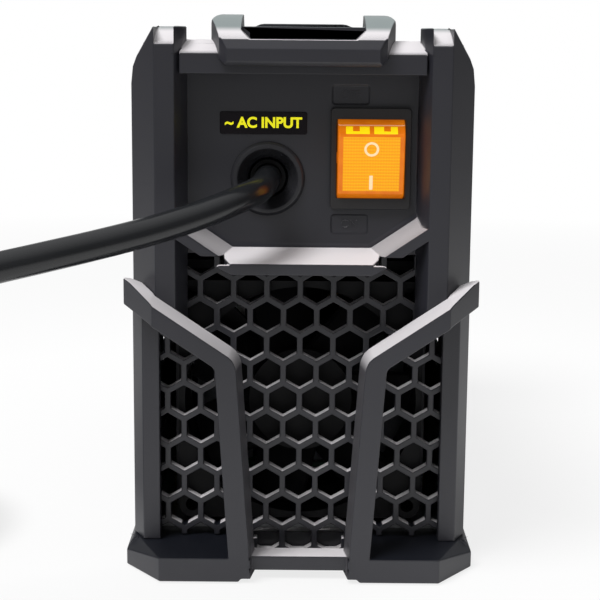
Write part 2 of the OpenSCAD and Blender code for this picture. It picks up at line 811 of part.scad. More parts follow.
// An end of the handle: a hook over the crossbar, two ears with a notch between them, and a neck
module bracket(top) difference() {
    ear_h = top - notch_z;
    ear_end = max(roof_start + 4, ear_set + slope_run(ear_h) + 1);
    intersection() {
        along(-bracket_hw, bracket_hw) polygon(concat(
            [[hook_face + hook_edge, hook_bottom], [hook_face, hook_bottom + hook_edge],
             [hook_face, bar_top - hook_chamfer]],
            slope([ear_set, notch_z], ear_h),
            [[ear_end, top], [ear_end + 4, neck_top], [neck_end, neck_top], [neck_end, neck_low],
             [frame_depth, neck_low], [frame_depth - 10, neck_low + 2], [roof_start + 1, bar_top]],
            reversed(bar_slope), [[bar_set, hook_bottom]]));
        linear_extrude(top + 1) both_sides() polygon([
            [-1, 0], [bracket_hw - hook_side, 0], [bracket_hw - hook_side, hook_face],
            [bracket_hw - ear_taper, hook_face + hook_side_depth], [bracket_hw, ear_taper_end],
            [bracket_hw, roof_start + 4], [neck_hw, frame_depth], [neck_hw, neck_end], [-1, neck_end]]);
        across(0, neck_end) both_sides() polygon(concat(
            [[-1, hook_bottom], [bracket_hw - hook_side, hook_bottom], [bracket_hw, hook_bottom + hook_corner]],
            arc([bracket_hw - ear_round, top - ear_round], ear_round, 0, 90, 5), [[-1, top]]));
    }
    across(0, notch_end) both_sides() polygon([
        [-1, notch_z], [ear_in - ear_chamfer, notch_z], [ear_in, notch_z + ear_chamfer], [ear_in, top + 1],
        [-1, top + 1]]);
    block([-ear_in, ear_in], [notch_end - 1, ear_end + 5], [neck_top, top + 1]);
    block([ear_chamfer - ear_in, ear_in - ear_chamfer], [notch_end - 1, notch_end + 4],
        [notch_z + 0.5, notch_z + 1.8]);
    both_sides() translate([handle_screw_x, handle_screw_set, 0])
        cylinder(r = screw_r + screw_fit, h = handle_screw_top);
}

module handle() color(moulded) {
    at_rear() bracket(ear_top);
    at_front() bracket(ear_top - front_ear_drop);
    translate([0, 0, grip_top - grip_t / 2])
        across(frame_depth - overall_len / 2 + 2, overall_len / 2 - frame_depth - 2)
            polygon(rounded(grip_w, grip_t, grip_r));
}

module handle_screws() color(steel) both_ends() both_sides()
    translate([handle_screw_x, handle_screw_set, handle_seat]) rotate([180, 0, 0])
        screw(screw_r, screw_head_r, screw_head_t, handle_screw_len);

// Case

module cover_shell(inset) polygon(concat(
    [[cover_hw - inset, cover_low]],
    arc([cover_hw - cover_r, cover_top - cover_r], cover_r - inset, 0, 90, 8),
    arc([cover_r - cover_hw, cover_top - cover_r], cover_r - inset, 90, 180, 8),
    [[inset - cover_hw, cover_low]]));

louvre_len = 26;
louvre_h = 3;
louvre_pitch = 8;
louvre_rows = 7;
louvre_y = 6;
louvre_z = 50;
cover_screw_ys = [-40, 40];
cover_screw_len = 5;

module louvres() both_sides() for (y = [-louvre_len - louvre_y, louvre_y]) for (row = [0:louvre_rows - 1])
    translate([cover_hw - 3, y, louvre_z + row * louvre_pitch]) cube([6, louvre_len, louvre_h]);

module cover_holes() both_sides() for (y = cover_screw_ys)
    translate([cover_hw - 4, y, ledge_z + side_screw_rise]) rotate([0, 90, 0])
        cylinder(r = screw_r + screw_fit, h = 8);

module top_cover() color(painted) difference() {
    across(cover_set - overall_len / 2, overall_len / 2 - cover_set) difference() {
        cover_shell(0);
        cover_shell(cover_t);
    }
    louvres();
    cover_holes();
    both_ends() frame_screw_holes();
}

module cover_screws() color(steel) both_sides() for (y = cover_screw_ys)
    translate([cover_hw, y, ledge_z + side_screw_rise]) rotate([0, 90, 0])
        screw(screw_r, screw_head_r, low_head_t, cover_screw_len);

module base_tray() color(steel) difference() {
    across(tray_set - overall_len / 2, overall_len / 2 - tray_set) polygon([
        [-tray_hw, ledge_z], [tray_hw, ledge_z], [tray_hw, ledge_z + tray_side],
        [tray_hw - tray_t, ledge_z + tray_side], [tray_hw - tray_t, tray_top], [tray_t - tray_hw, tray_top],
        [tray_t - tray_hw, ledge_z + tray_side], [-tray_hw, ledge_z + tray_side]]);
    cover_holes();
    both_ends() frame_screw_holes();
    both_ends() guard_screw_holes();
    for (x = [-1, 1]) for (y = standoff_ys) translate([x * standoff_x, y, 0])
        cylinder(r = screw_r + screw_fit, h = ledge_z + 6);
}

module fan_bracket() color(steel) at_rear() difference() {
    union() {
        block([-fan_w / 2 - 3, fan_w / 2 + 3], [fan_end, fan_end + tray_t], [tray_top, fan_z + fan_w / 2 + 3]);
        block([-fan_w / 2 - 3, fan_w / 2 + 3], [fan_end, fan_end + 9], [tray_top, tray_top + tray_t]);
    }
    rod(0, fan_z, 0, fan_end + 20, fan_bore_r);
    for (x = [-1, 1]) for (z = [-1, 1])
        rod(x * fan_pitch / 2, fan_z + z * fan_pitch / 2, 0, fan_end + 20, fan_screw_r + screw_fit);
}

// Switch

module switch_housing() color(moulded) at_rear() difference() {
    union() {
        translate([switch_x, panel_set, switch_z]) rotate([90, 0, 0])
            linear_extrude(bezel_proud) polygon(rounded(bezel_w, bezel_h, bezel_corner));
        block([switch_x - body_w / 2, switch_x + body_w / 2], [panel_set - 0.5, body_end],
            [switch_z - body_h / 2, switch_z + body_h / 2]);
    }
    intersection() {
        translate([switch_x - rocker_w / 2 - fit, pin_set, switch_z]) rotate([0, 90, 0])
            cylinder(r = rocker_r + fit, h = rocker_w + 2 * fit);
        block([switch_x - bezel_w, switch_x + bezel_w], [0, pin_set + 5.5], [0, frame_h]);
    }
    translate([switch_x - bezel_w, pin_set, switch_z]) rotate([0, 90, 0])
        cylinder(r = rocker_pin_r + running_fit, h = 2 * bezel_w);
}

module switch_rocker() color(amber) at_rear() translate([switch_x, pin_set, switch_z])
    rotate([rocker_tilt, 0, 0]) {
    intersection() {
        translate([-rocker_w / 2, 0, 0]) rotate([0, 90, 0]) cylinder(r = rocker_r, h = rocker_w);
        block([-rocker_w, rocker_w], [-rocker_face, rocker_back], [-rocker_r, rocker_r]);
    }
    translate([-body_w / 2, 0, 0]) rotate([0, 90, 0]) cylinder(r = rocker_pin_r, h = body_w);
}

module switch_terminals() color(brass) at_rear()
    for (x = [-terminal_x, terminal_x]) for (z = [-terminal_z, terminal_z])
    translate([switch_x + x - terminal_w / 2, body_end, switch_z + z - terminal_t / 2])
        cube([terminal_w, terminal_len, terminal_t]);

module supply_label() color([0.03, 0.03, 0.03]) at_rear() translate([label_x, panel_set, label_z])
    rotate([90, 0, 0]) linear_extrude(label_t) polygon(rounded(label_w, label_h, label_corner));

// Gland and mains cord

module cable_gland() color(cord_black) at_rear() turned(gland_x, gland_z) polygon([
    [gland_mouth_r, panel_set - gland_proud], [gland_flange_d / 2 - 1, panel_set - gland_proud],
    [gland_flange_d / 2, panel_set - gland_proud + 1], [gland_flange_d / 2, panel_set],
    [gland_thread_d / 2, panel_set], [gland_thread_d / 2, gland_end], [gland_hole_r, gland_end],
    [gland_hole_r, relief_start - 0.5]]);

module gland_nut() color(cord_black) at_rear() difference() {
    translate([gland_x, panel_set + panel_t, gland_z]) rotate([-90, 0, 0])
        cylinder(r = gland_nut_r, h = gland_nut_t, $fn = 6);
    rod(gland_x, gland_z, 0, frame_depth, gland_thread_d / 2 + screw_fit);
}

module strain_relief() color(cord_black) at_rear() turned(gland_x, gland_z) polygon([
    [relief_bore_r, relief_start], [gland_hole_r - 0.7, relief_start], [gland_hole_r - fit / 2, gland_end - 2],
    [gland_hole_r - fit / 2, gland_end + fit], [gland_thread_d / 2 - 0.5, gland_end + fit],
    [gland_thread_d / 2 - 0.5, gland_end + 3], [relief_bore_r + 1, relief_end], [relief_bore_r, relief_end]]);

module mains_cord_run() color(cord_black) at_rear() tube(cord_route, cord_d / 2, cord_sides);

// Coil: it spirals in, climbs a layer in half a turn and spirals out again
function coil_radius(turn) =
    turn < coil_turn_in ? coil_r - coil_step * turn / 360 :
    turn < coil_turn_in + 90 ? coil_inner - coil_step * (turn - coil_turn_in) / 360 :
    turn < coil_turn_over ? coil_inner - coil_step * (coil_turn_over - turn) / 360 :
    coil_inner + coil_step * (turn - coil_turn_over) / 360;
function ease(t) = let (s = min(max(t, 0), 1)) s * s * (3 - 2 * s);
function coil_height(turn) = coil_z + coil_step * ease((turn - coil_turn_in) / 180);
function coil_point(turn) = [
    coil_at[0] + coil_radius(turn) * cos(180 - turn), coil_at[1] + coil_radius(turn) * sin(180 - turn),
    coil_height(turn)];
coil_turns = [for (i = [0:round(coil_turn_end * coil_rings / 360)]) coil_point(i * 360 / coil_rings)];
coil_end = coil_point(coil_turn_end);
tail_way = [sin(180 - coil_turn_end), -cos(180 - coil_turn_end), 0];
coil_tail = [for (t = [0.25, 0.5, 0.75, 1])
    [coil_end[0], coil_end[1], coil_end[2] + (plug_z - coil_end[2]) * ease(t)] + tail_len * t * tail_way];
plug_at = coil_tail[3] + cord_d * tail_way;
coil_points = concat([coil_turns[0] - [0, cord_d, 0]], coil_turns, coil_tail, [plug_at]);
coil_gap = min([for (i = [0:len(coil_points) - 1]) for (j = [i + 8:1:len(coil_points) - 1])
    norm(coil_points[i] - coil_points[j])]) - cord_d;
echo(least_gap_in_coil = coil_gap);

module mains_cord_coil() color(cord_black) at_rear() tube(coil_points, cord_d / 2, coil_sides);

module coil_tie() color([0.2, 0.2, 0.22]) at_rear() {
    inner = coil_inner - coil_step / 4 - cord_d / 2 - 1.2;
    outer = coil_r + cord_d / 2 + 1.5;
    top = coil_z + coil_step + cord_d / 2 + 0.3;
    translate([coil_at[0], coil_at[1], 0]) along(-tie_w / 2, tie_w / 2) difference() {
        polygon([
            [inner - tie_t, 0.1], [outer + tie_t, 0.1], [outer + tie_t, top + tie_t],
            [inner - tie_t, top + tie_t]]);
        polygon([[inner, 0.1 + tie_t], [outer, 0.1 + tie_t], [outer, top], [inner, top]]);
    }
}

module on_plug() at_rear() translate(plug_at) rotate([0, 0, atan2(tail_way[1], tail_way[0])]) rotate([0, 90, 0])
    children();

module mains_plug() color(cord_black) on_plug() difference() {
    rotate_extrude() polygon([
        [0, 0], [cord_d / 2 + 0.6, 0], [cord_d / 2 + 3, plug_sleeve], [plug_r - 2, plug_sleeve + 9],
        [plug_r, plug_sleeve + 12], [plug_r, plug_sleeve + plug_len], [0, plug_sleeve + plug_len]]);
    for (side = [-1, 1]) translate([side * plug_pin_gap / 2, 0, plug_pin_seat])
        cylinder(r = plug_pin_r + running_fit, h = 20);
}

module plug_pins() color(steel) on_plug() for (side = [-1, 1])
    translate([side * plug_pin_gap / 2, 0, plug_pin_seat]) cylinder(r = plug_pin_r, h = plug_pin_len);

// Fan

module fan_frame() color(moulded) at_rear() difference() {
    union() {
        difference() {
            translate([0, 0, fan_z]) across(fan_set, fan_end) polygon(rounded(fan_w, fan_w, 4));
            rod(0, fan_z, 0, fan_end + 1, fan_bore_r);
        }
        intersection() {
            union() {
                rod(0, fan_z, fan_end - 4, fan_end, hub_r);
                for (a = [45, 135]) translate([0, 0, fan_z]) rotate([0, a, 0])
                    block([-fan_w / 2, fan_w / 2], [fan_end - 3, fan_end], [-3, 3]);
            }
            rod(0, fan_z, 0, fan_end + 1, fan_bore_r + 1);
        }
    }
    rod(0, fan_z, 0, fan_end + 1, fan_shaft_r + running_fit);
    for (x = [-1, 1]) for (z = [-1, 1])
        rod(x * fan_pitch / 2, fan_z + z * fan_pitch / 2, 0, fan_end + 1, fan_screw_r + screw_fit);
}

module fan_rotor() color(moulded) at_rear() {
    rod(0, fan_z, fan_set + 2, fan_end - 5, hub_r);
    rod(0, fan_z, fan_end - 6, fan_end - 0.5, fan_shaft_r);
    intersection() {
        for (i = [0:fan_blades - 1]) translate([0, 0, fan_z]) rotate([0, 360 * i / fan_blades, 0])
            translate([0, (fan_set + fan_end) / 2 - 1.5, 0]) rotate([blade_pitch, 0, 0])
                block([hub_r - 2, blade_r + 4], [-blade_t / 2, blade_t / 2], [-blade_w / 2, blade_w / 2]);
        difference() {
            rod(0, fan_z, fan_set + 2, fan_end - 5, blade_r);
            rod(0, fan_z, fan_set, fan_end, hub_r - 1);
        }
    }
}

module fan_screws() color(steel) at_rear() for (x = [-1, 1]) for (z = [-1, 1])
    translate([x * fan_pitch / 2, fan_end + tray_t, fan_z + z * fan_pitch / 2]) rotate([-90, 0, 0])
        screw(fan_screw_r, screw_head_r, screw_head_t, fan_screw_len);

// Front panel

module current_knob() color(moulded) at_front() difference() {
    union() {
        turned(knob_x, knob_z) polygon([
            [0, knob_face], [knob_d / 2 - 2, knob_face], [knob_d / 2 - 1, knob_face + 1],
            [knob_d / 2, panel_set - 2], [knob_d / 2, panel_set - 1], [0, panel_set - 1]]);
        for (i = [0:knob_ribs - 1]) translate([knob_x, 0, knob_z]) rotate([0, 360 * i / knob_ribs, 0])
            rod(knob_d / 2 - 0.8, 0, knob_face + 2, panel_set - 1, knob_rib_r);
    }
    rod(knob_x, knob_z, knob_face + 3, panel_set, shaft_r + running_fit);
    block([knob_x - 0.6, knob_x + 0.6], [0, knob_face + 0.8], [knob_z + 2, knob_z + knob_d]);
}

module knob_shaft() color(steel) at_front() rod(knob_x, knob_z, knob_face + 3.2, pot_set + 6, shaft_r);

module potentiometer() color(aluminium) at_front() difference() {
    union() {
        rod(knob_x, knob_z, pot_set, control_set, pot_r);
        rod(knob_x, knob_z, panel_set - 0.5, pot_set + 1, pot_thread_r);
    }
    rod(knob_x, knob_z, 0, pot_set + 6.5, shaft_r + running_fit);
}

module potentiometer_nut() color(steel) at_front() difference() {
    translate([knob_x, panel_set + panel_t, knob_z]) rotate([-90, 0, 0])
        cylinder(r = pot_nut_r, h = pot_nut_t, $fn = 6);
    rod(knob_x, knob_z, 0, frame_depth, pot_thread_r + screw_fit);
}

// A block of the window's outline less a rim
module window_block(rim, from, to) block(
    [window_x - window_w / 2 + rim, window_x + window_w / 2 - rim], [from, to],
    [window_z - window_h / 2 + rim, window_z + window_h / 2 - rim]);

module display_window() color([0.1, 0.02, 0.02]) at_front() {
    translate([window_x, panel_set, window_z]) rotate([90, 0, 0])
        linear_extrude(window_proud) polygon(rounded(window_w, window_h, 2));
    window_block(window_rim + fit, panel_set - 0.5, panel_set + panel_t);
}

module display_module() color([0.15, 0.15, 0.15]) at_front()
    window_block(window_rim + 2 * fit, panel_set + panel_t + fit, control_set);

module indicator_lenses() color([0.9, 0.9, 0.85]) at_front() for (x = lamp_xs) {
    rod(x, lamp_z, panel_set - 0.5, control_set, lamp_r);
    intersection() {
        translate([x, panel_set, lamp_z]) sphere(r = lamp_r);
        rod(x, lamp_z, panel_set - 3, panel_set, lamp_r);
    }
}

module control_board() color(board_green) at_front()
    block([-control_hw, control_hw], [control_set, control_set + board_t], [lamp_z - 5, cover_top - 2.5]);

// Output sockets

insert_r = 7;
insert_front = panel_set - 10;
insert_shoulder = panel_set + 22;
insert_end = panel_set + 34;
stud_r = 4;
collar_r = 13;
collar_front = panel_set - 12;
flange_r = 15.5;
flange_t = 4;
socket_end = panel_set + 14;
nut_rim = 3.5;
nut_t = 5;

module socket_body() turned(0, socket_z) polygon([
    [insert_r + screw_fit, collar_front], [collar_r - 0.8, collar_front], [collar_r, collar_front + 1],
    [collar_r, panel_set - flange_t], [flange_r, panel_set - flange_t], [flange_r, panel_set],
    [socket_thread_d / 2, panel_set], [socket_thread_d / 2, socket_end], [insert_r + screw_fit, socket_end]]);

module socket_insert() turned(0, socket_z) polygon([
    [socket_bore_r, insert_front], [insert_r, insert_front], [insert_r, insert_shoulder],
    [stud_r, insert_shoulder], [stud_r, insert_end], [0, insert_end], [0, socket_end],
    [socket_bore_r, socket_end]]);

module plus_socket() color([0.5, 0.05, 0.05]) at_front() translate([socket_x, 0, 0]) socket_body();
module minus_socket() color(moulded) at_front() translate([-socket_x, 0, 0]) socket_body();
module plus_insert() color(brass) at_front() translate([socket_x, 0, 0]) socket_insert();
module minus_insert() color(brass) at_front() translate([-socket_x, 0, 0]) socket_insert();

module socket_nuts() color(brass) at_front() both_sides() difference() {
    translate([socket_x, panel_set + grille_t, socket_z]) rotate([-90, 0, 0])
        cylinder(r = socket_thread_d / 2 + nut_rim, h = nut_t, $fn = 6);
    rod(socket_x, socket_z, 0, frame_depth, socket_thread_d / 2 + screw_fit);
}

busbar_t = 2;
busbar_w = 16;
module busbar() {
    difference() {
        block([socket_x - busbar_w / 2, socket_x + busbar_w / 2], [insert_shoulder, insert_shoulder + busbar_t],
            [board_top + fit, socket_z + 9]);
        rod(socket_x, socket_z, 0, frame_depth + 20, stud_r + screw_fit);
    }
    block([socket_x - busbar_w / 2, socket_x + busbar_w / 2],
        [insert_shoulder, overall_len / 2 - board_front + 8], [board_top + fit, board_top + fit + busbar_t]);
}
module plus_busbar() color(copper) at_front() busbar();
module minus_busbar() color(copper) at_front() mirror([1, 0, 0]) busbar();

// Power electronics

standoff_x = board_hw - 5;
standoff_r = 3.5;
standoff_ys = [board_back + 6, (board_back + board_front) / 2, board_front - 6];

module main_board() color(board_green) difference() {
    block([-board_hw, board_hw], [board_back, board_front], [board_z, board_top]);
    for (x = [-1, 1]) for (y = standoff_ys) translate([x * standoff_x, y, 0])
        cylinder(r = screw_r + screw_fit, h = board_top + 2);
}

module board_standoffs() color(brass) for (x = [-1, 1]) for (y = standoff_ys)
    translate([x * standoff_x, y, 0]) {
        translate([0, 0, tray_top]) cylinder(r = standoff_r, h = board_rise, $fn = 6);
        translate([0, 0, ledge_z]) cylinder(r = screw_r, h = board_rise + tray_t + board_t + 2);
    }

module heat_sink() {
    block([sink_x, sink_x + sink_base], [sink_y, sink_y + sink_len], [board_top, board_top + sink_h]);
    for (i = [0:sink_fins - 1])
        translate([sink_x + 1, sink_y, board_top + fin_rise + i * (sink_h - fin_rise - fin_t) / (sink_fins - 1)])
            cube([sink_out - sink_x - 1, sink_len, fin_t]);
}
module heat_sink_right() color(aluminium) heat_sink();
module heat_sink_left() color(aluminium) mirror([1, 0, 0]) heat_sink();

chip_hw = 8;
chip_h = 21;
chip_t = 5;
chip_pitch = 20;
leg_len = 12;
leg_pitch = 5.4;
leg_hw = 0.6;
leg_set = 2.8;

module transistor() {
    block([sink_x - chip_t, sink_x], [-chip_hw, chip_hw], [board_top + leg_len, board_top + leg_len + chip_h]);
    for (y = [-leg_pitch, 0, leg_pitch])
        block([sink_x - leg_set - leg_hw, sink_x - leg_set], [y - leg_hw, y + leg_hw],
            [board_top, board_top + leg_len + 0.5]);
}
module power_transistors() color([0.1, 0.1, 0.1]) both_sides()
    for (i = [0:3]) translate([0, sink_y + 12 + chip_pitch * i, 0]) transistor();

cap_h = 42;
cap_gap = 2;

module bus_capacitors() color([0.1, 0.12, 0.3]) for (i = [-1:1])
    translate([i * (cap_d + cap_gap), board_back + cap_d / 2 + 1, board_top]) cylinder(d = cap_d, h = cap_h);

bridge_y = board_back + cap_d + 4;
bridge_hw = 14;
bridge_t = 8;
bridge_h = 28;
relay_y = bridge_y + 10;
relay_t = 12;
relay_h = 16;

module bridge_rectifier() color([0.12, 0.12, 0.12])
    block([-bridge_hw, bridge_hw], [bridge_y, bridge_y + bridge_t], [board_top, board_top + bridge_h]);

module inrush_relay() color([0.1, 0.2, 0.5])
    block([-bridge_hw, bridge_hw], [relay_y, relay_y + relay_t], [board_top, board_top + relay_h]);

core_y = [board_front - 72, board_front - 32];
core_hw = 14;
core_h = 40;
leg_w = 6;
core_gap = 8;
winding_w = 27.4;
choke_r = 8.5;
choke_wire_r = 4.4;

module transformer_core() color([0.2, 0.2, 0.21]) difference() {
    block([-core_hw, core_hw], core_y, [board_top, board_top + core_h]);
    for (y = [core_y[0] + leg_w, (core_y[0] + core_y[1]) / 2 + leg_w])
        block([-core_hw - 1, core_hw + 1], [y, y + core_gap], [board_top + leg_w, board_top + core_h - leg_w]);
}

module transformer_winding() color(copper) {
    mid = (core_y[0] + core_y[1]) / 2;
    translate([0, mid, board_top + leg_w + fit]) linear_extrude(core_h - 2 * leg_w - 2 * fit) difference() {
        polygon(rounded(2 * core_hw + 3, winding_w, 4));
        square([2 * core_hw + 2 * fit, 2 * (leg_w + fit)], center = true);
    }
}

module output_choke() color(copper) translate([0, board_front - 16, board_top + 13]) rotate([90, 0, 0])
    rotate_extrude() translate([choke_r, 0]) circle(r = choke_wire_r, $fn = 32);

module earth_stud() color(brass) translate([tray_hw - 12, board_back + 16, tray_top]) {
    cylinder(r = 5, h = 3, $fn = 6);
    cylinder(r = 2.5, h = board_rise - 2);
}

rear_frame();
rear_grille();
rear_guard();
front_frame();
socket_plate();
front_guard();
front_bumpers();
handle();
handle_screws();
guard_screws();
frame_screws();
top_cover();
cover_screws();
base_tray();
fan_bracket();
switch_housing();
switch_rocker();
switch_terminals();
supply_label();
cable_gland();
gland_nut();
strain_relief();
mains_cord_run();
mains_cord_coil();
coil_tie();
mains_plug();
plug_pins();
fan_frame();
fan_rotor();
fan_screws();
current_knob();
knob_shaft();
potentiometer();
potentiometer_nut();
display_window();
display_module();
indicator_lenses();
control_board();
plus_socket();
plus_insert();
minus_socket();
minus_insert();
socket_nuts();
plus_busbar();
minus_busbar();
main_board();
board_standoffs();
heat_sink_left();
heat_sink_right();
power_transistors();
bus_capacitors();
bridge_rectifier();
inrush_relay();
transformer_core();
transformer_winding();
output_choke();
earth_stud();
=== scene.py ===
import math

import bmesh
import bpy
import numpy as np
from mathutils import Matrix, Vector


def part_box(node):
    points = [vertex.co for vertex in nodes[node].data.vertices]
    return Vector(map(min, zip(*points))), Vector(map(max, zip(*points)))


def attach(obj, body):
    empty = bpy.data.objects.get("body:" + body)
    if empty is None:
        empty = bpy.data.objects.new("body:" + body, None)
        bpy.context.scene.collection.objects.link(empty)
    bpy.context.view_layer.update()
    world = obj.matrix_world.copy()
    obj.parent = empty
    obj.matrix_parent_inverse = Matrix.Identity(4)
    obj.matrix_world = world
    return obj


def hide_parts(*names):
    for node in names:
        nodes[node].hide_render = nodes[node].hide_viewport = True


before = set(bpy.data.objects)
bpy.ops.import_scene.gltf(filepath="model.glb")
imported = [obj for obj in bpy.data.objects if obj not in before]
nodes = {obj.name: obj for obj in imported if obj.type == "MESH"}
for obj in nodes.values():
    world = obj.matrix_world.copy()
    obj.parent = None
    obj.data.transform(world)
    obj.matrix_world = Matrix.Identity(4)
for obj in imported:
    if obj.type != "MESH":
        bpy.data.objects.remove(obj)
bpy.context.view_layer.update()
scene = bpy.context.scene
scene.view_settings.view_transform = "Standard"


# Camera.
# It stands level with the handle behind the machine, half a metre off, and looks down ten degrees.
# The lens is a short telephoto, and the frame leans half a degree as a hand-held shot does.
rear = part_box("rear_guard")[0][1]
eye = (-0.0004, rear - 0.446, 0.170)
looks_down = math.radians(10.0)
leans = math.radians(0.5)
camera_data = bpy.data.cameras.new("rear_view")
camera_data.sensor_width = 36.0
camera_data.lens = 88.4
camera = bpy.data.objects.new("rear_view", camera_data)
scene.collection.objects.link(camera)
look = Matrix.Rotation(0.5 * math.pi - looks_down, 4, "X") @ Matrix.Rotation(leans, 4, "Z")
camera.matrix_world = Matrix.Translation(eye) @ look
scene.camera = camera


# Mains cord.
# A round rubber-jacketed lead that comes out of the gland, sags to the floor at the left and is wound
# into a flat coil of two layers, whose tail rises to the plug.
cord_diameter = 0.0086
cord_route = np.array([
    (-11, 44, 126.6), (-11, 33, 126.6), (-11.2, 21, 126.2), (-13.5, 8, 124.4), (-20.5, -4, 122),
    (-31, -13.5, 118.6), (-44, -24.5, 115.4), (-58, -36, 112.8), (-72, -47.5, 110.6), (-87, -57.5, 108),
    (-103, -65.5, 104), (-121, -70.5, 98), (-139, -72, 90), (-157, -70.5, 80.5), (-174, -65.5, 69.5),
    (-189, -57, 58), (-201.5, -45, 46), (-212, -32, 34), (-219.5, -17.5, 23.5), (-225, -2, 14.5),
    (-228, 14, 8.8), (-229, 26, 6.5), (-229, 36.4, 5.9),
]) * 0.001
coil_middle = np.array((-0.171, 0.045))
coil_outer = 0.058
coil_step = 0.0092
coil_height = 0.0059
turns_in = 2.5
turns_over = 0.5
turns_out = 2.625
tail_length = 0.022
plug_radius = 0.0185
plug_height = plug_radius + 0.0001


def ease(t):
    """Rises from 0 to 1 with level ends: three t squared less two t cubed."""
    t = np.clip(t, 0.0, 1.0)
    return t * t * (3.0 - 2.0 * t)


def coil_line():
    """Spiral in by one step a turn, up one step within half a turn, and out again by one step a turn."""
    turn = np.arange(0.0, turns_in + turns_over + turns_out + 1e-9, 1.0 / 48.0)
    inner = coil_outer - coil_step * turns_in
    half = turns_in + turns_over / 2.0
    back = turns_in + turns_over
    inward = coil_outer - coil_step * turn
    outward = inner + coil_step * np.abs(turn - back) * np.where(turn < back, -1.0, 1.0)
    radius = np.where(turn < half, inward, outward)
    angle = np.pi - 2.0 * np.pi * turn
    height = coil_height + coil_step * ease((turn - turns_in) / turns_over)
    x = coil_middle[0] + radius * np.cos(angle)
    y = coil_middle[1] + radius * np.sin(angle)
    return np.stack([x, y, height], 1)


def through(points, step):
    """Smooth line through points: a cubic on each stretch, with end slopes from the points beside it."""
    padded = np.concatenate([[2 * points[0] - points[1]], points, [2 * points[-1] - points[-2]]])
    count = max(2, int(np.linalg.norm(np.diff(points, axis=0), axis=1).mean() / step))
    t = (np.arange(count) / count)[None, :, None]
    p0, p1, p2, p3 = (padded[i:len(padded) - 3 + i, None, :] for i in range(4))
    bend = 2 * p0 - 5 * p1 + 4 * p2 - p3
    twist = 3 * p1 - p0 - 3 * p2 + p3
    line = 0.5 * (2 * p1 + (p2 - p0) * t + bend * t**2 + twist * t**3)
    return np.concatenate([line.reshape(-1, 3), points[-1:]])


def grid_faces(rows, columns):
    """Quads between neighbouring points of a grid whose last column meets its first."""
    r, c = np.meshgrid(np.arange(rows - 1), np.arange(columns), indexing="ij")
    after = (c + 1) % columns
    row = r * columns
    next_row = row + columns
    quads = np.stack([row + c, next_row + c, next_row + after, row + after], -1)
    return quads.reshape(-1, 4).tolist()


def loft(rings):
    """A skin over a stack of closed rings, with a flat face over the first and the last."""
    rows, columns = rings.shape[:2]
    faces = grid_faces(rows, columns)
    faces.append(list(range(columns)))
    faces.append(list(range((rows - 1) * columns, rows * columns))[::-1])
    return rings.reshape(-1, 3), faces


def across_line(forward):
    """Two unit directions square to a direction: level to its side, and the one square to both."""
    upright = np.where(np.abs(forward[..., 2:]) < 0.9, (0.0, 0.0, 1.0), (1.0, 0.0, 0.0))
    side = np.cross(forward, upright)
    side /= np.linalg.norm(side, axis=-1, keepdims=True)
    return side, np.cross(side, forward)


def tube(line, radius, sides):
    """A circle of the given radius carried along a line, square to it, with flat ends."""
    forward = np.gradient(line, axis=0)
    forward /= np.linalg.norm(forward, axis=1, keepdims=True)
    side, up = across_line(forward)
    angle = np.linspace(0.0, 2.0 * np.pi, sides, endpoint=False)[None, :, None]
    return loft(line[:, None] + radius * (np.cos(angle) * side[:, None] + np.sin(angle) * up[:, None]))


def together(shapes):
    """Several shapes as one: their points in a row, and their faces counted on from each other."""
    points = np.concatenate([shape[0].reshape(-1, 3) for shape in shapes])
    starts = np.cumsum([0] + [len(shape[0].reshape(-1, 3)) for shape in shapes])
    faces = []
    for shape, start in zip(shapes, starts):
        faces += [[corner + int(start) for corner in face] for face in shape[1]]
    return points, faces


def new_piece(name, shape, material, body):
    """A closed mesh with crisp corners that rides on a body."""
    mesh = bpy.data.meshes.new(name)
    mesh.from_pydata(shape[0].reshape(-1, 3).tolist(), [], shape[1])
    build = bmesh.new()
    build.from_mesh(mesh)
    bmesh.ops.remove_doubles(build, verts=build.verts, dist=1e-7)
    bmesh.ops.recalc_face_normals(build, faces=build.faces)
    build.to_mesh(mesh)
    build.free()
    mesh.polygons.foreach_set("use_smooth", np.ones(len(mesh.polygons), bool))
    mesh.set_sharp_from_angle(angle=math.radians(35.0))
    mesh.materials.append(material)
    piece = bpy.data.objects.new(name, mesh)
    scene.collection.objects.link(piece)
    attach(piece, body)
    return piece


class Field:
    """A value that varies over a surface: arithmetic on it adds Math nodes to its material."""

    def __init__(self, tree, socket):
        self.tree = tree
        self.socket = socket

    def math(self, operation, *values):
        return add_node(self.tree, "ShaderNodeMath", {"operation": operation}, dict(enumerate(values)))

    def __add__(self, other):
        return self.math("ADD", self, other)

    def __sub__(self, other):
        return self.math("SUBTRACT", self, other)

    def __rsub__(self, other):
        return self.math("SUBTRACT", other, self)

    def __mul__(self, other):
        return self.math("MULTIPLY", self, other)

    def __truediv__(self, other):
        return self.math("DIVIDE", self, other)

    def __lt__(self, other):
        return self.math("LESS_THAN", self, other)

    def __gt__(self, other):
        return self.math("GREATER_THAN", self, other)

    def __mod__(self, other):
        return self.math("FLOORED_MODULO", self, other)

    def __abs__(self):
        return self.math("ABSOLUTE", self)

    __radd__ = __add__
    __rmul__ = __mul__


def add_node(tree, kind, settings, sockets, output=0):
    """Any node: its settings, then its sockets' values or links. Gives one of its outputs as a Field."""
    node = tree.nodes.new(kind)
    for key, value in settings.items():
        setattr(node, key, value)
    for key, value in sockets.items():
        if isinstance(value, Field):
            tree.links.new(value.socket, node.inputs[key])
        else:
            node.inputs[key].default_value = value
    return Field(tree, node.outputs[output])


def noise(place, scale, detail=2.0):
    """Cloudy variation from 0 to 1 at a number of waves a metre."""
    return add_node(place.tree, "ShaderNodeTexNoise", {}, {"Vector": place, "Scale": scale, "Detail": detail})


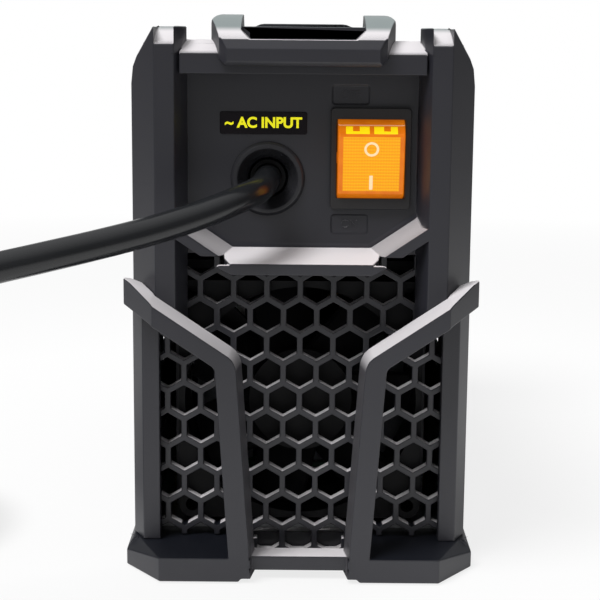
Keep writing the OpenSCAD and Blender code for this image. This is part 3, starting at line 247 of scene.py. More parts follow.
def shade(share, low, high):
    """A colour between two colours."""
    low = low if isinstance(low, Field) else (*low, 1.0)
    high = high if isinstance(high, Field) else (*high, 1.0)
    return add_node(share.tree, "ShaderNodeMix", {"data_type": "RGBA"}, {"Factor": share, 6: low, 7: high}, 2)


def new_finish(name, **constant):
    """A material with constant values on its shader's sockets. Gives it and the place on the surface."""
    material = bpy.data.materials.new(name)
    material.use_nodes = True
    shader = material.node_tree.nodes["Principled BSDF"]
    for key, value in constant.items():
        shader.inputs[key.replace("_", " ")].default_value = value
    return material, add_node(material.node_tree, "ShaderNodeTexCoord", {}, {}, "Object")


def feed(material, **fields):
    """Links fields to the sockets of a material's shader."""
    shader = material.node_tree.nodes["Principled BSDF"]
    for key, field in fields.items():
        material.node_tree.links.new(field.socket, shader.inputs[key.replace("_", " ")])
    return material


def relief(height, strength, depth):
    """A surface direction that leans as a height does, for heights of 0 to 1 over a depth in metres."""
    sockets = {"Strength": strength, "Distance": depth, "Height": height}
    return add_node(height.tree, "ShaderNodeBump", {}, sockets)


def moulded(name, dark, light, rough, grain, strength, **constant):
    """Moulded plastic or rubber: a fine spark grain, and a slow drift in colour and gloss."""
    material, place = new_finish(name, **constant)
    drift = noise(place, 25.0, 3.0)
    spark = noise(place, 1.0 / grain)
    return feed(
        material, Base_Color=shade(drift, dark, light), Roughness=rough - 0.05 + 0.06 * drift + 0.04 * spark,
        Normal=relief(spark, strength, grain / 4.0))


cord_rubber = moulded("cord_rubber", (0.012, 0.013, 0.015), (0.018, 0.019, 0.021), 0.19, 0.0005, 0.10)
coil = coil_line()
coil_end_angle = math.pi * (1.0 - 2.0 * (turns_in + turns_over + turns_out))
tail_way = np.array((math.sin(coil_end_angle), -math.cos(coil_end_angle), 0.0))
tail_share = np.linspace(0.125, 1.0, 8)[:, None]
tail = coil[-1] + tail_length * tail_share * tail_way
tail[:, 2] = coil[-1, 2] + (plug_height - coil[-1, 2]) * ease(tail_share[:, 0])
plug_start = tail[-1] + cord_diameter * tail_way
cord_line = np.concatenate([through(cord_route, 0.002)[:-1], coil, tail, [plug_start]]) + (0.0, rear, 0.0)
cord_end = cord_line[-1]
cord_skin = tube(cord_line, cord_diameter / 2.0, 24)
mains_cord = new_piece("mains_cord", cord_skin, cord_rubber, "case")
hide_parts("mains_cord_run", "mains_cord_coil")


# Mains plug.
# An earthed plug moulded in rubber onto the cord's end: a ringed bend sleeve, a shoulder, and a round
# body with finger flutes. Its two nickelled pins stand out of the flat face.
sleeve_length = 0.022
body_length = 0.036


def plug_skin():
    """Radius by distance along the axis: a ringed cone, a shoulder, then a drum with a cosine's flutes."""
    s = np.linspace(0.0, sleeve_length + body_length, 140)
    angle = np.linspace(0.0, 2.0 * np.pi, 96, endpoint=False)
    root = cord_diameter / 2.0
    knots = np.array((0.0, 0.021, 0.022, 0.026, 0.031, 0.034, 0.0565, 0.058))
    sizes = np.array((
        root + 0.0006, root + 0.003, root + 0.0032, 0.0128, 0.0165, plug_radius, plug_radius, 0.0176))
    radius = np.interp(s, knots, sizes)
    ring = (np.abs(((s / 0.0034) % 1.0) - 0.5) < 0.18) & (s > 0.002) & (s < 0.019)
    radius = radius - 0.0009 * ring
    grip = ease((s - 0.033) / 0.004) * ease((0.052 - s) / 0.004)
    flute = np.clip(np.cos(16.0 * angle), 0.0, 1.0) ** 2
    radius = radius[:, None] - 0.0011 * grip[:, None] * flute[None, :]
    side, up = across_line(tail_way)
    spoke = np.cos(angle)[:, None] * side + np.sin(angle)[:, None] * up
    return loft(cord_end + s[:, None, None] * tail_way + radius[..., None] * spoke)


plug_rubber = moulded("plug_rubber", (0.012, 0.012, 0.013), (0.02, 0.02, 0.021), 0.5, 0.0006, 0.2)
plug = new_piece("plug_body", plug_skin(), plug_rubber, "case")
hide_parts("mains_plug")


def dress(name, material):
    """Gives a carried-over part its finish."""
    part = nodes[name]
    part.data.materials.clear()
    part.data.materials.append(material)
    return part


def plated(name, dark, light, rough, grain):
    """Plated or bare metal: a cloudy tone, fine scratches and an uneven gloss."""
    material, place = new_finish(name, Metallic=1.0)
    cloud = noise(place, 1.0 / grain, 4.0)
    scratch = noise(place, 4.0 / grain, 5.0)
    return feed(
        material, Base_Color=shade(cloud, dark, light), Roughness=rough - 0.06 + 0.12 * cloud,
        Normal=relief(scratch, 0.05, grain / 20.0))


nickel = plated("nickel", (0.60, 0.58, 0.54), (0.72, 0.70, 0.66), 0.25, 0.004)
dress("plug_pins", nickel)


# Cord strap.
# A woven hook-and-loop strap that goes once round the coil's turns, with its end pressed down on itself.
# It is twelve millimetres wide and a little over one thick.
tie_low, tie_high = (np.array(corner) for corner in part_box("coil_tie"))


def strap_skin():
    """A flat section with round edges carried round a rectangle with round corners, and on past its start."""
    middle = (tie_low + tie_high) / 2.0
    half = (tie_high - tie_low) / 2.0 - 0.0006
    corner = 0.004
    turn = np.linspace(0.0, 2.0 * np.pi, 160, endpoint=False)
    flat = half[1:] - corner
    arc = np.stack([np.cos(turn), np.sin(turn)], 1)
    loop = middle[1:] + np.sign(np.round(arc, 9)) * flat + corner * arc
    closed = np.concatenate([loop, loop[:1]])
    length = np.concatenate([[0.0], np.linalg.norm(np.diff(closed, axis=0), axis=1).cumsum()])
    start = 0.020
    along = start + np.linspace(0.0, length[-1] + 0.018, 220)
    y = np.interp(along % length[-1], length, closed[:, 0])
    z = np.interp(along % length[-1], length, closed[:, 1])
    way = np.stack([np.gradient(y), np.gradient(z)], 1)
    way /= np.linalg.norm(way, axis=1, keepdims=True)
    out = np.stack([way[:, 1], -way[:, 0]], 1)
    lift = 0.00125 * ease((along - start - length[-1] + 0.004) / 0.008)
    y = y + out[:, 0] * lift
    z = z + out[:, 1] * lift
    angle = np.linspace(0.0, 2.0 * np.pi, 24, endpoint=False)
    wide = np.sign(np.cos(angle)) * np.abs(np.cos(angle)) ** 0.3 * half[0]
    thick = np.sign(np.sin(angle)) * np.abs(np.sin(angle)) ** 0.5 * 0.00055
    x = np.broadcast_to(middle[0] + wide, (len(y), len(angle)))
    return loft(np.stack([x, y[:, None] + out[:, :1] * thick, z[:, None] + out[:, 1:] * thick], -1))


strap_weave, strap_place = new_finish("strap_weave", Sheen_Weight=0.4, Sheen_Roughness=0.5)
strap_rows = add_node(
    strap_weave.node_tree, "ShaderNodeTexWave", {"bands_direction": "X"},
    {"Vector": strap_place, "Scale": 420.0, "Distortion": 0.6, "Detail": 1.0})
strap_fuzz = noise(strap_place, 3000.0)
feed(strap_weave, Base_Color=shade(strap_fuzz, (0.012, 0.012, 0.013), (0.04, 0.04, 0.042)),
     Roughness=0.75 + 0.2 * strap_fuzz, Normal=relief(strap_rows * 0.7 + strap_fuzz * 0.5, 0.6, 0.0002))
strap = new_piece("cord_strap", strap_skin(), strap_weave, "case")
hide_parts("coil_tie")


# Floor and light.
# A sheet of white paper on a dark floor, which the camera sees as white, in a room that is dim at the
# sides, a little lighter behind the camera and bright above and behind the machine. A soft sun is high at
# the left.
floor_size = 6.0
floor_low = -0.0005
paper_end = 0.25
dark_start = 0.9
floor_material, floor_place = new_finish("paper", Roughness=0.9, Specular_IOR_Level=0.1)
paper_fibre = noise(floor_place, 900.0)
paper_tone = shade(paper_fibre, (0.78, 0.78, 0.78), (0.82, 0.82, 0.82))
floor_tree = floor_material.node_tree
floor_off = add_node(floor_tree, "ShaderNodeVectorMath", {"operation": "LENGTH"}, {0: floor_place}, "Value")
past_paper = add_node(
    floor_tree, "ShaderNodeMapRange", {}, {"Value": floor_off, "From Min": paper_end, "From Max": dark_start})
feed(floor_material, Base_Color=shade(past_paper, paper_tone, (0.15, 0.15, 0.15)))
floor_seen = add_node(floor_tree, "ShaderNodeLightPath", {}, {}, "Is Camera Ray")
white = add_node(floor_tree, "ShaderNodeEmission", {}, {"Strength": 1.0})
lit = Field(floor_tree, floor_tree.nodes["Principled BSDF"].outputs[0])
whiteness = floor_seen * (0.8 + 0.2 * past_paper)
paper = add_node(floor_tree, "ShaderNodeMixShader", {}, {0: whiteness, 1: lit, 2: white})
floor_tree.links.new(paper.socket, floor_tree.nodes["Material Output"].inputs["Surface"])
floor_mesh = bpy.data.meshes.new("floor")
floor_corners = [(x * floor_size, y * floor_size, floor_low) for x, y in ((-1, -1), (1, -1), (1, 1), (-1, 1))]
floor_mesh.from_pydata(floor_corners, [], [(0, 1, 2, 3)])
floor_mesh.materials.append(floor_material)
floor = bpy.data.objects.new("floor", floor_mesh)
scene.collection.objects.link(floor)

world = bpy.data.worlds.new("white_room")
scene.world = world
world.use_nodes = True
sky = world.node_tree
backdrop = sky.nodes["Background"]
backdrop.inputs["Color"].default_value = (1.0, 1.0, 1.0, 1.0)
sky_seen = add_node(sky, "ShaderNodeLightPath", {}, {}, "Is Camera Ray")
sky_way = add_node(sky, "ShaderNodeTexCoord", {}, {}, "Generated")
sky_back = add_node(sky, "ShaderNodeSeparateXYZ", {}, {0: sky_way}, 1)
sky_up = add_node(sky, "ShaderNodeSeparateXYZ", {}, {0: sky_way}, 2)
overhead = 1.2 * (sky_up - 0.35)
behind = 4.0 * (sky_back - 0.8)
fill = 0.22 * (0.0 - sky_back)
bright = overhead.math("MAXIMUM", overhead, behind)
bright = bright.math("MAXIMUM", bright, fill)
bright = bright.math("MINIMUM", bright.math("MAXIMUM", bright, 0.0), 1.0)
dim_room = 0.06
room = dim_room + (1.0 - dim_room) * bright
sky.links.new((room + (1.0 - room) * sky_seen).socket, backdrop.inputs["Strength"])


def new_lamp(name, kind, place, aim, **settings):
    """A lamp at a place, turned to face a point, that leaves no glare of itself on gloss."""
    data = bpy.data.lights.new(name, kind)
    for key, value in settings.items():
        setattr(data, key, value)
    lamp = bpy.data.objects.new(name, data)
    turn = (Vector(aim) - Vector(place)).to_track_quat("-Z", "Y").to_matrix().to_4x4()
    lamp.matrix_world = Matrix.Translation(place) @ turn
    lamp.visible_glossy = False
    scene.collection.objects.link(lamp)


sun_place = (-0.9, -0.8, 1.8)
sun_level = 0.95
new_lamp(
    "high_sun", "SUN", sun_place, (0.0, 0.0, 0.0), energy=sun_level * math.pi, angle=math.radians(30.0))


# Base tray and fan bracket.
# Folded from zinc-plated steel sheet. The tray carries the boards, and the bracket stands on it behind
# the fan; screws through the guards and the frames hold them.
zinc = plated("zinc_plate", (0.50, 0.51, 0.53), (0.66, 0.67, 0.69), 0.36, 0.006)
dress("base_tray", zinc)
black_zinc = plated("black_zinc", (0.05, 0.05, 0.055), (0.09, 0.09, 0.095), 0.42, 0.006)
dress("fan_bracket", black_zinc)


# Main board and control board.
# Glass-fibre boards under green solder mask, with tinned pads and copper tracks that show through it.
# The main board stands on six hexagonal brass standoffs.
board_mask, board_place = new_finish("board_mask", Coat_Weight=0.3, Coat_Roughness=0.2)
board_tracks = add_node(
    board_mask.node_tree, "ShaderNodeTexBrick", {},
    {"Vector": board_place, "Scale": 90.0, "Mortar Size": 0.06, "Mortar Smooth": 0.1, "Bias": 0.0,
     "Brick Width": 0.7, "Row Height": 0.22}, 1)
board_pads = add_node(
    board_mask.node_tree, "ShaderNodeTexVoronoi", {},
    {"Vector": board_place, "Scale": 240.0, "Randomness": 0.5})
board_pad = board_pads < 0.16
board_drift = noise(board_place, 60.0)
board_green = shade(board_drift, (0.008, 0.09, 0.035), (0.012, 0.12, 0.05))
board_green = shade(board_tracks * 0.7, board_green, (0.03, 0.19, 0.08))
feed(board_mask, Base_Color=shade(board_pad, board_green, (0.62, 0.61, 0.58)), Metallic=board_pad,
     Roughness=0.42 - 0.12 * board_pad, Normal=relief(board_tracks, 0.3, 0.0001))
for name in ("main_board", "control_board"):
    dress(name, board_mask)
brass = plated("turned_brass", (0.62, 0.43, 0.16), (0.78, 0.58, 0.26), 0.28, 0.003)
for name in ("board_standoffs", "earth_stud", "switch_terminals"):
    dress(name, brass)


# Heat sinks and power transistors.
# Extruded aluminium combs either side of the transformer. Four transistors in black epoxy are clamped to
# each, on tinned legs that go down into the board.
board_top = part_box("main_board")[1][2]
extruded, extruded_place = new_finish("extruded_aluminium", Metallic=1.0)
extruded_stretch = add_node(
    extruded.node_tree, "ShaderNodeMapping", {}, {"Vector": extruded_place, "Scale": (900.0, 12.0, 900.0)})
extruded_lines = noise(extruded_stretch, 1.0, 3.0)
feed(extruded, Base_Color=shade(extruded_lines, (0.58, 0.59, 0.60), (0.74, 0.75, 0.76)),
     Roughness=0.32 + 0.16 * extruded_lines, Normal=relief(extruded_lines, 0.15, 0.0001))
for name in ("heat_sink_left", "heat_sink_right"):
    dress(name, extruded)


def part_of(place, axis):
    """One of the three distances of a place on the surface: across, along or up."""
    return add_node(place.tree, "ShaderNodeSeparateXYZ", {}, {0: place}, "XYZ"[axis])


epoxy, epoxy_place = new_finish("transistor_epoxy")
epoxy_grain = noise(epoxy_place, 2500.0)
leg = part_of(epoxy_place, 2) < board_top + 0.012
epoxy_black = shade(epoxy_grain, (0.012, 0.012, 0.013), (0.022, 0.022, 0.023))
feed(epoxy, Base_Color=shade(leg, epoxy_black, (0.66, 0.65, 0.62)), Metallic=leg,
     Roughness=0.55 - 0.25 * leg + 0.05 * epoxy_grain, Normal=relief(epoxy_grain, 0.2, 0.0001))
dress("power_transistors", epoxy)


# Bus capacitors, rectifier and relay.
# Three electrolytic cans in a shrunk sleeve with a pale stripe and a scored bare top, a potted bridge
# rectifier, and a relay in a blue case; all are soldered into the main board.
can_low, can_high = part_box("bus_capacitors")
can_width = can_high[1] - can_low[1]
can_gap = 0.002
sleeve, sleeve_place = new_finish("can_sleeve", Coat_Weight=0.3, Coat_Roughness=0.15)
can_across = (part_of(sleeve_place, 0) + (can_width + can_gap) * 1.5) % (can_width + can_gap)
can_across = can_across - (can_width + can_gap) / 2.0
can_along = part_of(sleeve_place, 1) - (can_low[1] + can_high[1]) / 2.0
can_lid = part_of(sleeve_place, 2) > can_high[2] - 0.0003
lid_edge = (can_across * can_across + can_along * can_along) < (0.44 * can_width) ** 2
bare_lid = can_lid * lid_edge
score = 1.0 - (1.0 - (abs(can_across) < 0.0004)) * (1.0 - (abs(can_along) < 0.0004))
stripe = (can_along < -0.30 * can_width) * (1.0 - can_lid)
sleeve_drift = noise(sleeve_place, 120.0)
sleeve_blue = shade(sleeve_drift, (0.010, 0.014, 0.045), (0.016, 0.022, 0.07))
sleeve_tone = shade(bare_lid, shade(stripe, sleeve_blue, (0.42, 0.44, 0.48)), (0.68, 0.69, 0.70))
feed(sleeve, Base_Color=sleeve_tone, Metallic=bare_lid, Roughness=0.3 + 0.08 * sleeve_drift,
     Normal=relief(1.0 - score * bare_lid, 0.6, 0.0003))
dress("bus_capacitors", sleeve)
potting = moulded("rectifier_potting", (0.014, 0.014, 0.015), (0.024, 0.024, 0.025), 0.5, 0.0005, 0.2)
dress("bridge_rectifier", potting)
relay_case = moulded("relay_case", (0.02, 0.06, 0.24), (0.03, 0.08, 0.30), 0.38, 0.0006, 0.1)
dress("inrush_relay", relay_case)


# Transformer and output choke.
# A sintered ferrite core with a winding of enamelled copper between its legs, and a ring choke wound with
# thick wire. The wires lie side by side in rows.
ferrite, ferrite_place = new_finish("ferrite")
ferrite_pits = noise(ferrite_place, 1800.0, 4.0)
feed(ferrite, Base_Color=shade(ferrite_pits, (0.018, 0.018, 0.020), (0.045, 0.045, 0.048)),
     Roughness=0.55 + 0.2 * ferrite_pits, Normal=relief(ferrite_pits, 0.3, 0.0002))
dress("transformer_core", ferrite)


def wound(strands, place, material):
    """Enamelled wire in rows: a rounded ridge for each strand, with its own tone."""
    ridge = abs((strands % 1.0) - 0.5) * 2.0
    tone = noise(place, 400.0)
    enamel = shade(tone, (0.42, 0.14, 0.05), (0.66, 0.27, 0.11))
    return feed(
        material, Base_Color=enamel, Roughness=0.26 + 0.15 * tone,
        Normal=relief(1.0 - ridge * ridge, 0.8, 0.0004))


wire_pitch = 0.0012
winding_copper, winding_place = new_finish("winding_copper", Metallic=1.0, Coat_Weight=0.4)
dress("transformer_winding", wound(part_of(winding_place, 2) / wire_pitch, winding_place, winding_copper))
choke_low, choke_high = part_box("output_choke")
choke_strands = 30.0
choke_copper, choke_place = new_finish("choke_copper", Metallic=1.0, Coat_Weight=0.4)
choke_across = part_of(choke_place, 0) - (choke_low[0] + choke_high[0]) / 2.0
choke_up = part_of(choke_place, 2) - (choke_low[2] + choke_high[2]) / 2.0
choke_turn = choke_across.math("ARCTAN2", choke_across, choke_up) * (choke_strands / (2.0 * math.pi))
dress("output_choke", wound(choke_turn + choke_strands, choke_place, choke_copper))
bare_copper = plated("bare_copper", (0.60, 0.24, 0.11), (0.78, 0.38, 0.20), 0.3, 0.004)
for name in ("plus_busbar", "minus_busbar"):
    dress(name, bare_copper)


# Cooling fan.
# A square frame with four ribs to its hub and a seven-bladed rotor, both moulded in black plastic and
# coloured darker still as painted shade behind the grille.
# Four screws hold the frame to its bracket.
# Near-black with little gloss: painted shade for what lies behind the grille.
painted_shade_plastic = moulded("painted_shade_plastic", (0.004, 0.004, 0.005), (0.007, 0.007, 0.008), 0.55, 0.0008, 0.1,
                      Specular_IOR_Level=0.2)
for name in ("fan_frame", "fan_rotor"):
    dress(name, painted_shade_plastic)


# Sheet cover.
# Steel sheet folded over the machine in one piece and coated with fine textured powder. Its side openings
# are pressed out into shallow hoods that shed drips.
powder, powder_place = new_finish("powder_coat")
powder_peel = noise(powder_place, 1100.0, 3.0)
powder_drift = noise(powder_place, 18.0)
feed(powder, Base_Color=shade(powder_drift, (0.013, 0.013, 0.014), (0.019, 0.019, 0.020)),
     Roughness=0.42 + 0.12 * powder_peel, Normal=relief(powder_peel, 0.5, 0.00025))
dress("top_cover", powder)
cover_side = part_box("top_cover")[1][0]
hood_length = 0.026
hood_height = 0.003
hood_rise = 0.0017
hood_rows = 7
hood_pitch = 0.008
hood_low = 0.050


def hood(side, start, low):
    """Outward bulge over an opening: a quarter wave from its top edge down, which runs out at both ends."""
    along = np.linspace(-0.001, hood_length + 0.001, 28)[:, None]
    down = np.linspace(0.0, 1.0, 8)[None, :]
    bulge = ease(along / 0.004 + 0.25) * ease((hood_length - along) / 0.004 + 0.25)
    out = 0.0001 + hood_rise * bulge * np.sin(0.5 * np.pi * down)
    up = low + hood_height + 0.0008 - (hood_height + 0.0004) * down + 0.0 * along
    sheet = 0.0005
    outer = np.stack([side * (cover_side + out + sheet), start + along + 0.0 * down, up], -1)
    inner = np.stack([side * (cover_side + out), start + along + 0.0 * down, up], -1)
    return loft(np.concatenate([outer, inner[:, ::-1]], 1))


hoods = [hood(side, start, hood_low + row * hood_pitch) for side in (-1.0, 1.0)
         for start in (-0.006 - hood_length, 0.006) for row in range(hood_rows)]
new_piece("louvre_hoods", together(hoods), powder, "case")


# End frames.
# Glass-filled black plastic, moulded with a fine spark grain. Each has pillars, a crossbar and a recessed
# panel in one piece; the mould's split leaves a hairline across the crossbar.
# Heights over which the painted sheen turns grey on the highest faces.
grey_low = 0.1722
grey_high = 0.1742
# Below this height and outside this reach, the feet's up-facing faces get painted shade.
foot_top = 0.012
foot_inner = 0.0154
split_height = 0.1656
split_half = 0.00012
split_reach = 0.0405


def between(value, low, high):
    """Rises smoothly from 0 to 1 as a value goes from a low to a high limit."""
    return add_node(
        value.tree, "ShaderNodeMapRange", {"interpolation_type": "SMOOTHSTEP"},
        {"Value": value, "From Min": low, "From Max": high})


def charcoal(name, groove):
    """Dark square on; at a low angle a painted sheen turns faces that look up pale, speckled by the grain.

    The painted sheen is grey on the highest faces instead, and the feet's up-facing faces get painted shade
    and no sheen.
    """
    material, place = new_finish(name, Specular_IOR_Level=0.7)
    drift = noise(place, 25.0, 3.0)
    spark = noise(place, 2600.0)
    cut = groove(place)
    grain = relief(spark * 0.5 - cut, 0.35, 0.0001)
    low_angle = add_node(place.tree, "ShaderNodeLayerWeight", {}, {"Blend": 0.5, "Normal": grain}, "Facing")
    way = add_node(place.tree, "ShaderNodeTexCoord", {}, {}, "Normal")
    looks_up = part_of(way, 2).math("MAXIMUM", part_of(way, 2), 0.0)
    # Painted sheen: pale colour where a face that looks up is seen at a low angle.
    painted_sheen = between(low_angle, 0.45, 0.60)
    highest = between(part_of(place, 2), grey_low, grey_high)
    # Painted shade on the feet's up-facing faces, which also keeps the painted sheen off them.
    foot_painted_shade = (part_of(place, 2) < foot_top) * (abs(part_of(place, 0)) > foot_inner)
    tone = shade(drift, (0.020, 0.020, 0.026), (0.026, 0.026, 0.033))
    tone = shade(cut * 0.75, tone, (0.004, 0.004, 0.005))
    tone = shade(foot_painted_shade * looks_up, tone, (0.008, 0.009, 0.013))
    # The painted sheen's colour, grey on the highest faces.
    pale = shade(highest, (0.80, 0.77, 0.79), (0.24, 0.28, 0.28))
    tone = shade(painted_sheen * looks_up * (1.0 - foot_painted_shade), tone, pale)
    return feed(material, Base_Color=tone, Roughness=0.38 + 0.06 * drift + 0.05 * spark, Normal=grain)


def split_line(place):
    """The hairline of the mould's split, level across the crossbar."""
    level = abs(part_of(place, 2) - split_height) < split_half
    return level * (abs(part_of(place, 0)) < split_reach)


def soften(name, width, material):
    """Gives a moulded part its finish and rounds its edges: flat faces are joined first, then bevelled."""
    part = dress(name, material)
    weld = part.modifiers.new("weld", "WELD")
    weld.merge_threshold = 0.00001
    flat = part.modifiers.new("flat", "DECIMATE")
    flat.decimate_type = "DISSOLVE"
    flat.angle_limit = math.radians(1.0)
    edge = part.modifiers.new("edge", "BEVEL")
    edge.width = width
    edge.segments = 2
    edge.limit_method = "ANGLE"
    edge.angle_limit = math.radians(25.0)
    edge.use_clamp_overlap = False
    part.modifiers.new("shade", "WEIGHTED_NORMAL")
    return part


frame_plastic = charcoal("frame_plastic", split_line)
for name in ("rear_frame", "front_frame"):
    soften(name, 0.0004, frame_plastic)


# Grille and socket plate.
# Flat mouldings that slide in behind the pillars: a honeycomb for the fan's air at the rear, and a plain
# plate for the two output sockets at the front.


def plain(place):
    """No groove anywhere."""
    return part_of(place, 2) < -1.0


black_plastic = charcoal("black_plastic", plain)
soften("rear_grille", 0.0003, black_plastic)
soften("socket_plate", 0.0003, black_plastic)


# Guards.
# Tough black mouldings screwed up into the frames' feet. The rear one carries the two bent arms with their
# claws round the pillars; at the front the claws are bumpers of their own.
for name in ("rear_guard", "front_guard", "front_bumpers"):
    soften(name, 0.0004, black_plastic)


# Handle.
# One black moulding: a round-edged grip whose end brackets hook over the crossbars and are screwed up
# through them.
soften("handle", 0.0003, black_plastic)


# Screws.
# Black zinc-plated steel with domed heads and a pressed cross. They hold the frames and the cover at the
# sides, the guards from below, the handle through the crossbars and the fan to its bracket.


def screw(head, way, head_radius, head_height, shaft_radius, shaft_length):
    """Turned outline from tip to dome: a ripple for the thread, and a cross let into the head's middle."""
    head, way = np.array(head), np.array(way, float)
    angle = np.linspace(0.0, 2.0 * np.pi, 48, endpoint=False)
    thread = np.linspace(-shaft_length, -0.0004, 40)
    ripple = shaft_radius * (0.9 + 0.1 * np.abs(((thread / 0.0008) % 1.0) * 2.0 - 1.0))
    share = np.linspace(1.0, 0.04, 14)
    dome = head_height * (0.45 + 0.55 * np.sqrt(1.0 - 0.98 * share**2))
    radius = np.concatenate([[0.0004], ripple, [head_radius, head_radius], head_radius * share])
    height = np.concatenate([[-shaft_length], thread, [0.0, 0.4 * head_height], dome])
    rows = np.broadcast_to(height[:, None], (len(height), len(angle))).copy()
    a = radius[:, None] * np.cos(angle)
    b = radius[:, None] * np.sin(angle)
    slot = 0.13 * head_radius
    cross = np.maximum(ease((slot - np.abs(a)) / slot + 0.5), ease((slot - np.abs(b)) / slot + 0.5))
    cross = cross * ease(2.4 - 4.0 * radius[:, None] / head_radius) * (height[:, None] > 0.5 * head_height)
    rows = rows - 0.6 * head_height * cross
    side, up = across_line(way)
    return loft(head + rows[..., None] * way + a[..., None] * side + b[..., None] * up)


screw_radius = 0.002
head_radius = 0.0038


def screws(name, seats, way_of, head_height, shaft_length):
    """A set of like screws in place of a node, one at each seat, each with its own way out."""
    sizes = (head_radius, head_height, screw_radius, shaft_length)
    shapes = [screw(seat, way_of(seat), *sizes) for seat in seats]
    piece = new_piece(name + "_turned", together(shapes), black_zinc, "case")
    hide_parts(name)


def sideways(seat):
    """Straight out of the side that the seat is on."""
    return (math.copysign(1.0, seat[0]), 0.0, 0.0)


def downwards(seat):
    """Straight down, wherever the seat is."""
    return (0.0, 0.0, -1.0)


frame_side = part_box("rear_frame")[1][0]
frame_seats = [(x, y, z) for x in (-frame_side, frame_side) for y in (-0.080, 0.080) for z in (0.020, 0.122)]
screws("frame_screws", frame_seats, sideways, 0.0016, 0.0075)
cover_seats = [(x, y, 0.020) for x in (-cover_side, cover_side) for y in (-0.040, 0.040)]
screws("cover_screws", cover_seats, sideways, 0.0016, 0.005)
guard_seats = [(x, y, 0.003) for x in (-0.036, 0.036) for y in (-0.083, 0.083)]
screws("guard_screws", guard_seats, downwards, 0.0024, 0.010)
for name in ("handle_screws", "fan_screws"):
    dress(name, black_zinc)


# Rocker switch.
# A glossy housing snapped into the panel with an amber rocker of clear plastic, whose inside is a
# field of fine steps; its colour carries a painted glow, with no lamp inside, and a painted highlight
# lies along its top rim. Cream marks for on and off are printed on its face.
bezel_plastic = moulded("bezel_plastic", (0.022, 0.021, 0.022), (0.029, 0.028, 0.029), 0.34, 0.0004, 0.15)
soften("switch_housing", 0.0003, bezel_plastic)
rocker_pin = (0.0216, -0.100, 0.1332)
rocker_lean = math.radians(11.0)
# The amber's own colour also glows at half strength: a painted glow.
amber, amber_place = new_finish("amber", Coat_Weight=0.1, Coat_Roughness=0.08, Specular_IOR_Level=0.25,
                                Emission_Strength=0.5)
amber_local = add_node(
    amber.node_tree, "ShaderNodeMapping", {"vector_type": "TEXTURE"},
    {"Vector": amber_place, "Location": rocker_pin, "Rotation": (rocker_lean, 0.0, 0.0)})
amber_across = part_of(amber_local, 0)
amber_up = part_of(amber_local, 2)


def inside(value, low, high):
    """One where a value lies between two limits, else nothing."""
    return (value > low) * (value < high)


def either(one, other):
    """One where either mask is."""
    return 1.0 - (1.0 - one) * (1.0 - other)


step_field = inside(amber_up, -0.0084, 0.0091) * (abs(amber_across) < 0.0089)
steps_up = abs(((amber_up / 0.00100) % 1.0) - 0.5) * 2.0
steps_across = abs(((amber_across / 0.00085) % 1.0) - 0.5) * 2.0
step_height = steps_up * 0.75 + steps_across * 0.25
top_band = inside(amber_up, 0.00996, 0.01168) * (abs(amber_across) < 0.0081)
outer_tabs = inside(abs(amber_across), 0.0038, 0.0059) * (amber_up > 0.01062)
middle_tab = abs(amber_across) < 0.0007
top_lit = top_band * (1.0 - either(outer_tabs, middle_tab))
# A painted highlight: a thin pale line along the top rim.
painted_rim_highlight = inside(amber_up, 0.01185, 0.01202)
amber_drift = noise(amber_place, 260.0)
amber_edge = shade(amber_drift, (0.58, 0.11, 0.003), (0.82, 0.22, 0.006))
amber_steps = shade(step_height, (0.80, 0.28, 0.003), (0.98, 0.44, 0.006))
amber_face = shade(step_field, amber_edge, amber_steps)
amber_face = shade(top_lit, amber_face, (1.0, 0.70, 0.006))
amber_face = shade(painted_rim_highlight * 0.6, amber_face, (0.85, 0.55, 0.40))
feed(amber, Base_Color=amber_face, Emission_Color=amber_face, Roughness=0.28 + 0.12 * step_field,
     Normal=relief(step_height * step_field, 0.25, 0.0003))
soften("switch_rocker", 0.0005, amber)


def slab(outline, low, high):
    """A flat outline of across and up drawn out between two distances in front of it."""
    levels = np.array((low, high))
    flat = np.broadcast_to(outline[None], (2, *outline.shape))
    depth = np.broadcast_to(levels[:, None, None], (2, len(outline), 1))
    return loft(np.concatenate([flat, depth], 2))


def oval(width, height, corner, count=8):
    """Outline of a rectangle with round corners, a quarter circle at each."""
    quarter = np.linspace(0.0, 0.5 * np.pi, count)
    angle = (quarter[None] + 0.5 * np.pi * np.arange(4)[:, None]).ravel()
    reach = np.array((width / 2.0 - corner, height / 2.0 - corner))
    middle = np.array(((1, 1), (-1, 1), (-1, -1), (1, -1))).repeat(count, 0) * reach
    return middle + corner * np.stack([np.cos(angle), np.sin(angle)], 1)


def ring(radius, width, low, high, sides=48):
    """A flat round band: a rectangle of width and height turned about the middle."""
    angle = np.linspace(0.0, 2.0 * np.pi, sides, endpoint=False)[:, None]
    radii = radius + np.array((-0.5, 0.5, 0.5, -0.5))[None] * width
    depth = np.array((low, low, high, high))[None] + 0.0 * angle
    points = np.stack([radii * np.cos(angle), radii * np.sin(angle), depth], -1)
    faces = grid_faces(sides + 1, 4)
    return points, [[corner % (4 * sides) for corner in face] for face in faces]


def placed(shape, origin, across, up):
    """A shape of across, up and out carried to an origin, with out square to the other two."""
    across, up = np.array(across, float), np.array(up, float)
    axes = np.stack([across, up, np.cross(across, up)])
    return np.array(origin) + shape[0].reshape(-1, 3) @ axes, shape[1]


def printed(name, dark, light, glow=0.0):
    """Screen print: a thin even ink with a faint grain, which may carry a painted glow that makes it brighter
    than the lamps light it.
    """
    material, place = new_finish(name, Specular_IOR_Level=0.3, Emission_Strength=glow)
    grain = noise(place, 3500.0)
    tone = shade(grain, dark, light)
    return feed(material, Base_Color=tone, Emission_Color=tone, Roughness=0.45 + 0.15 * grain)


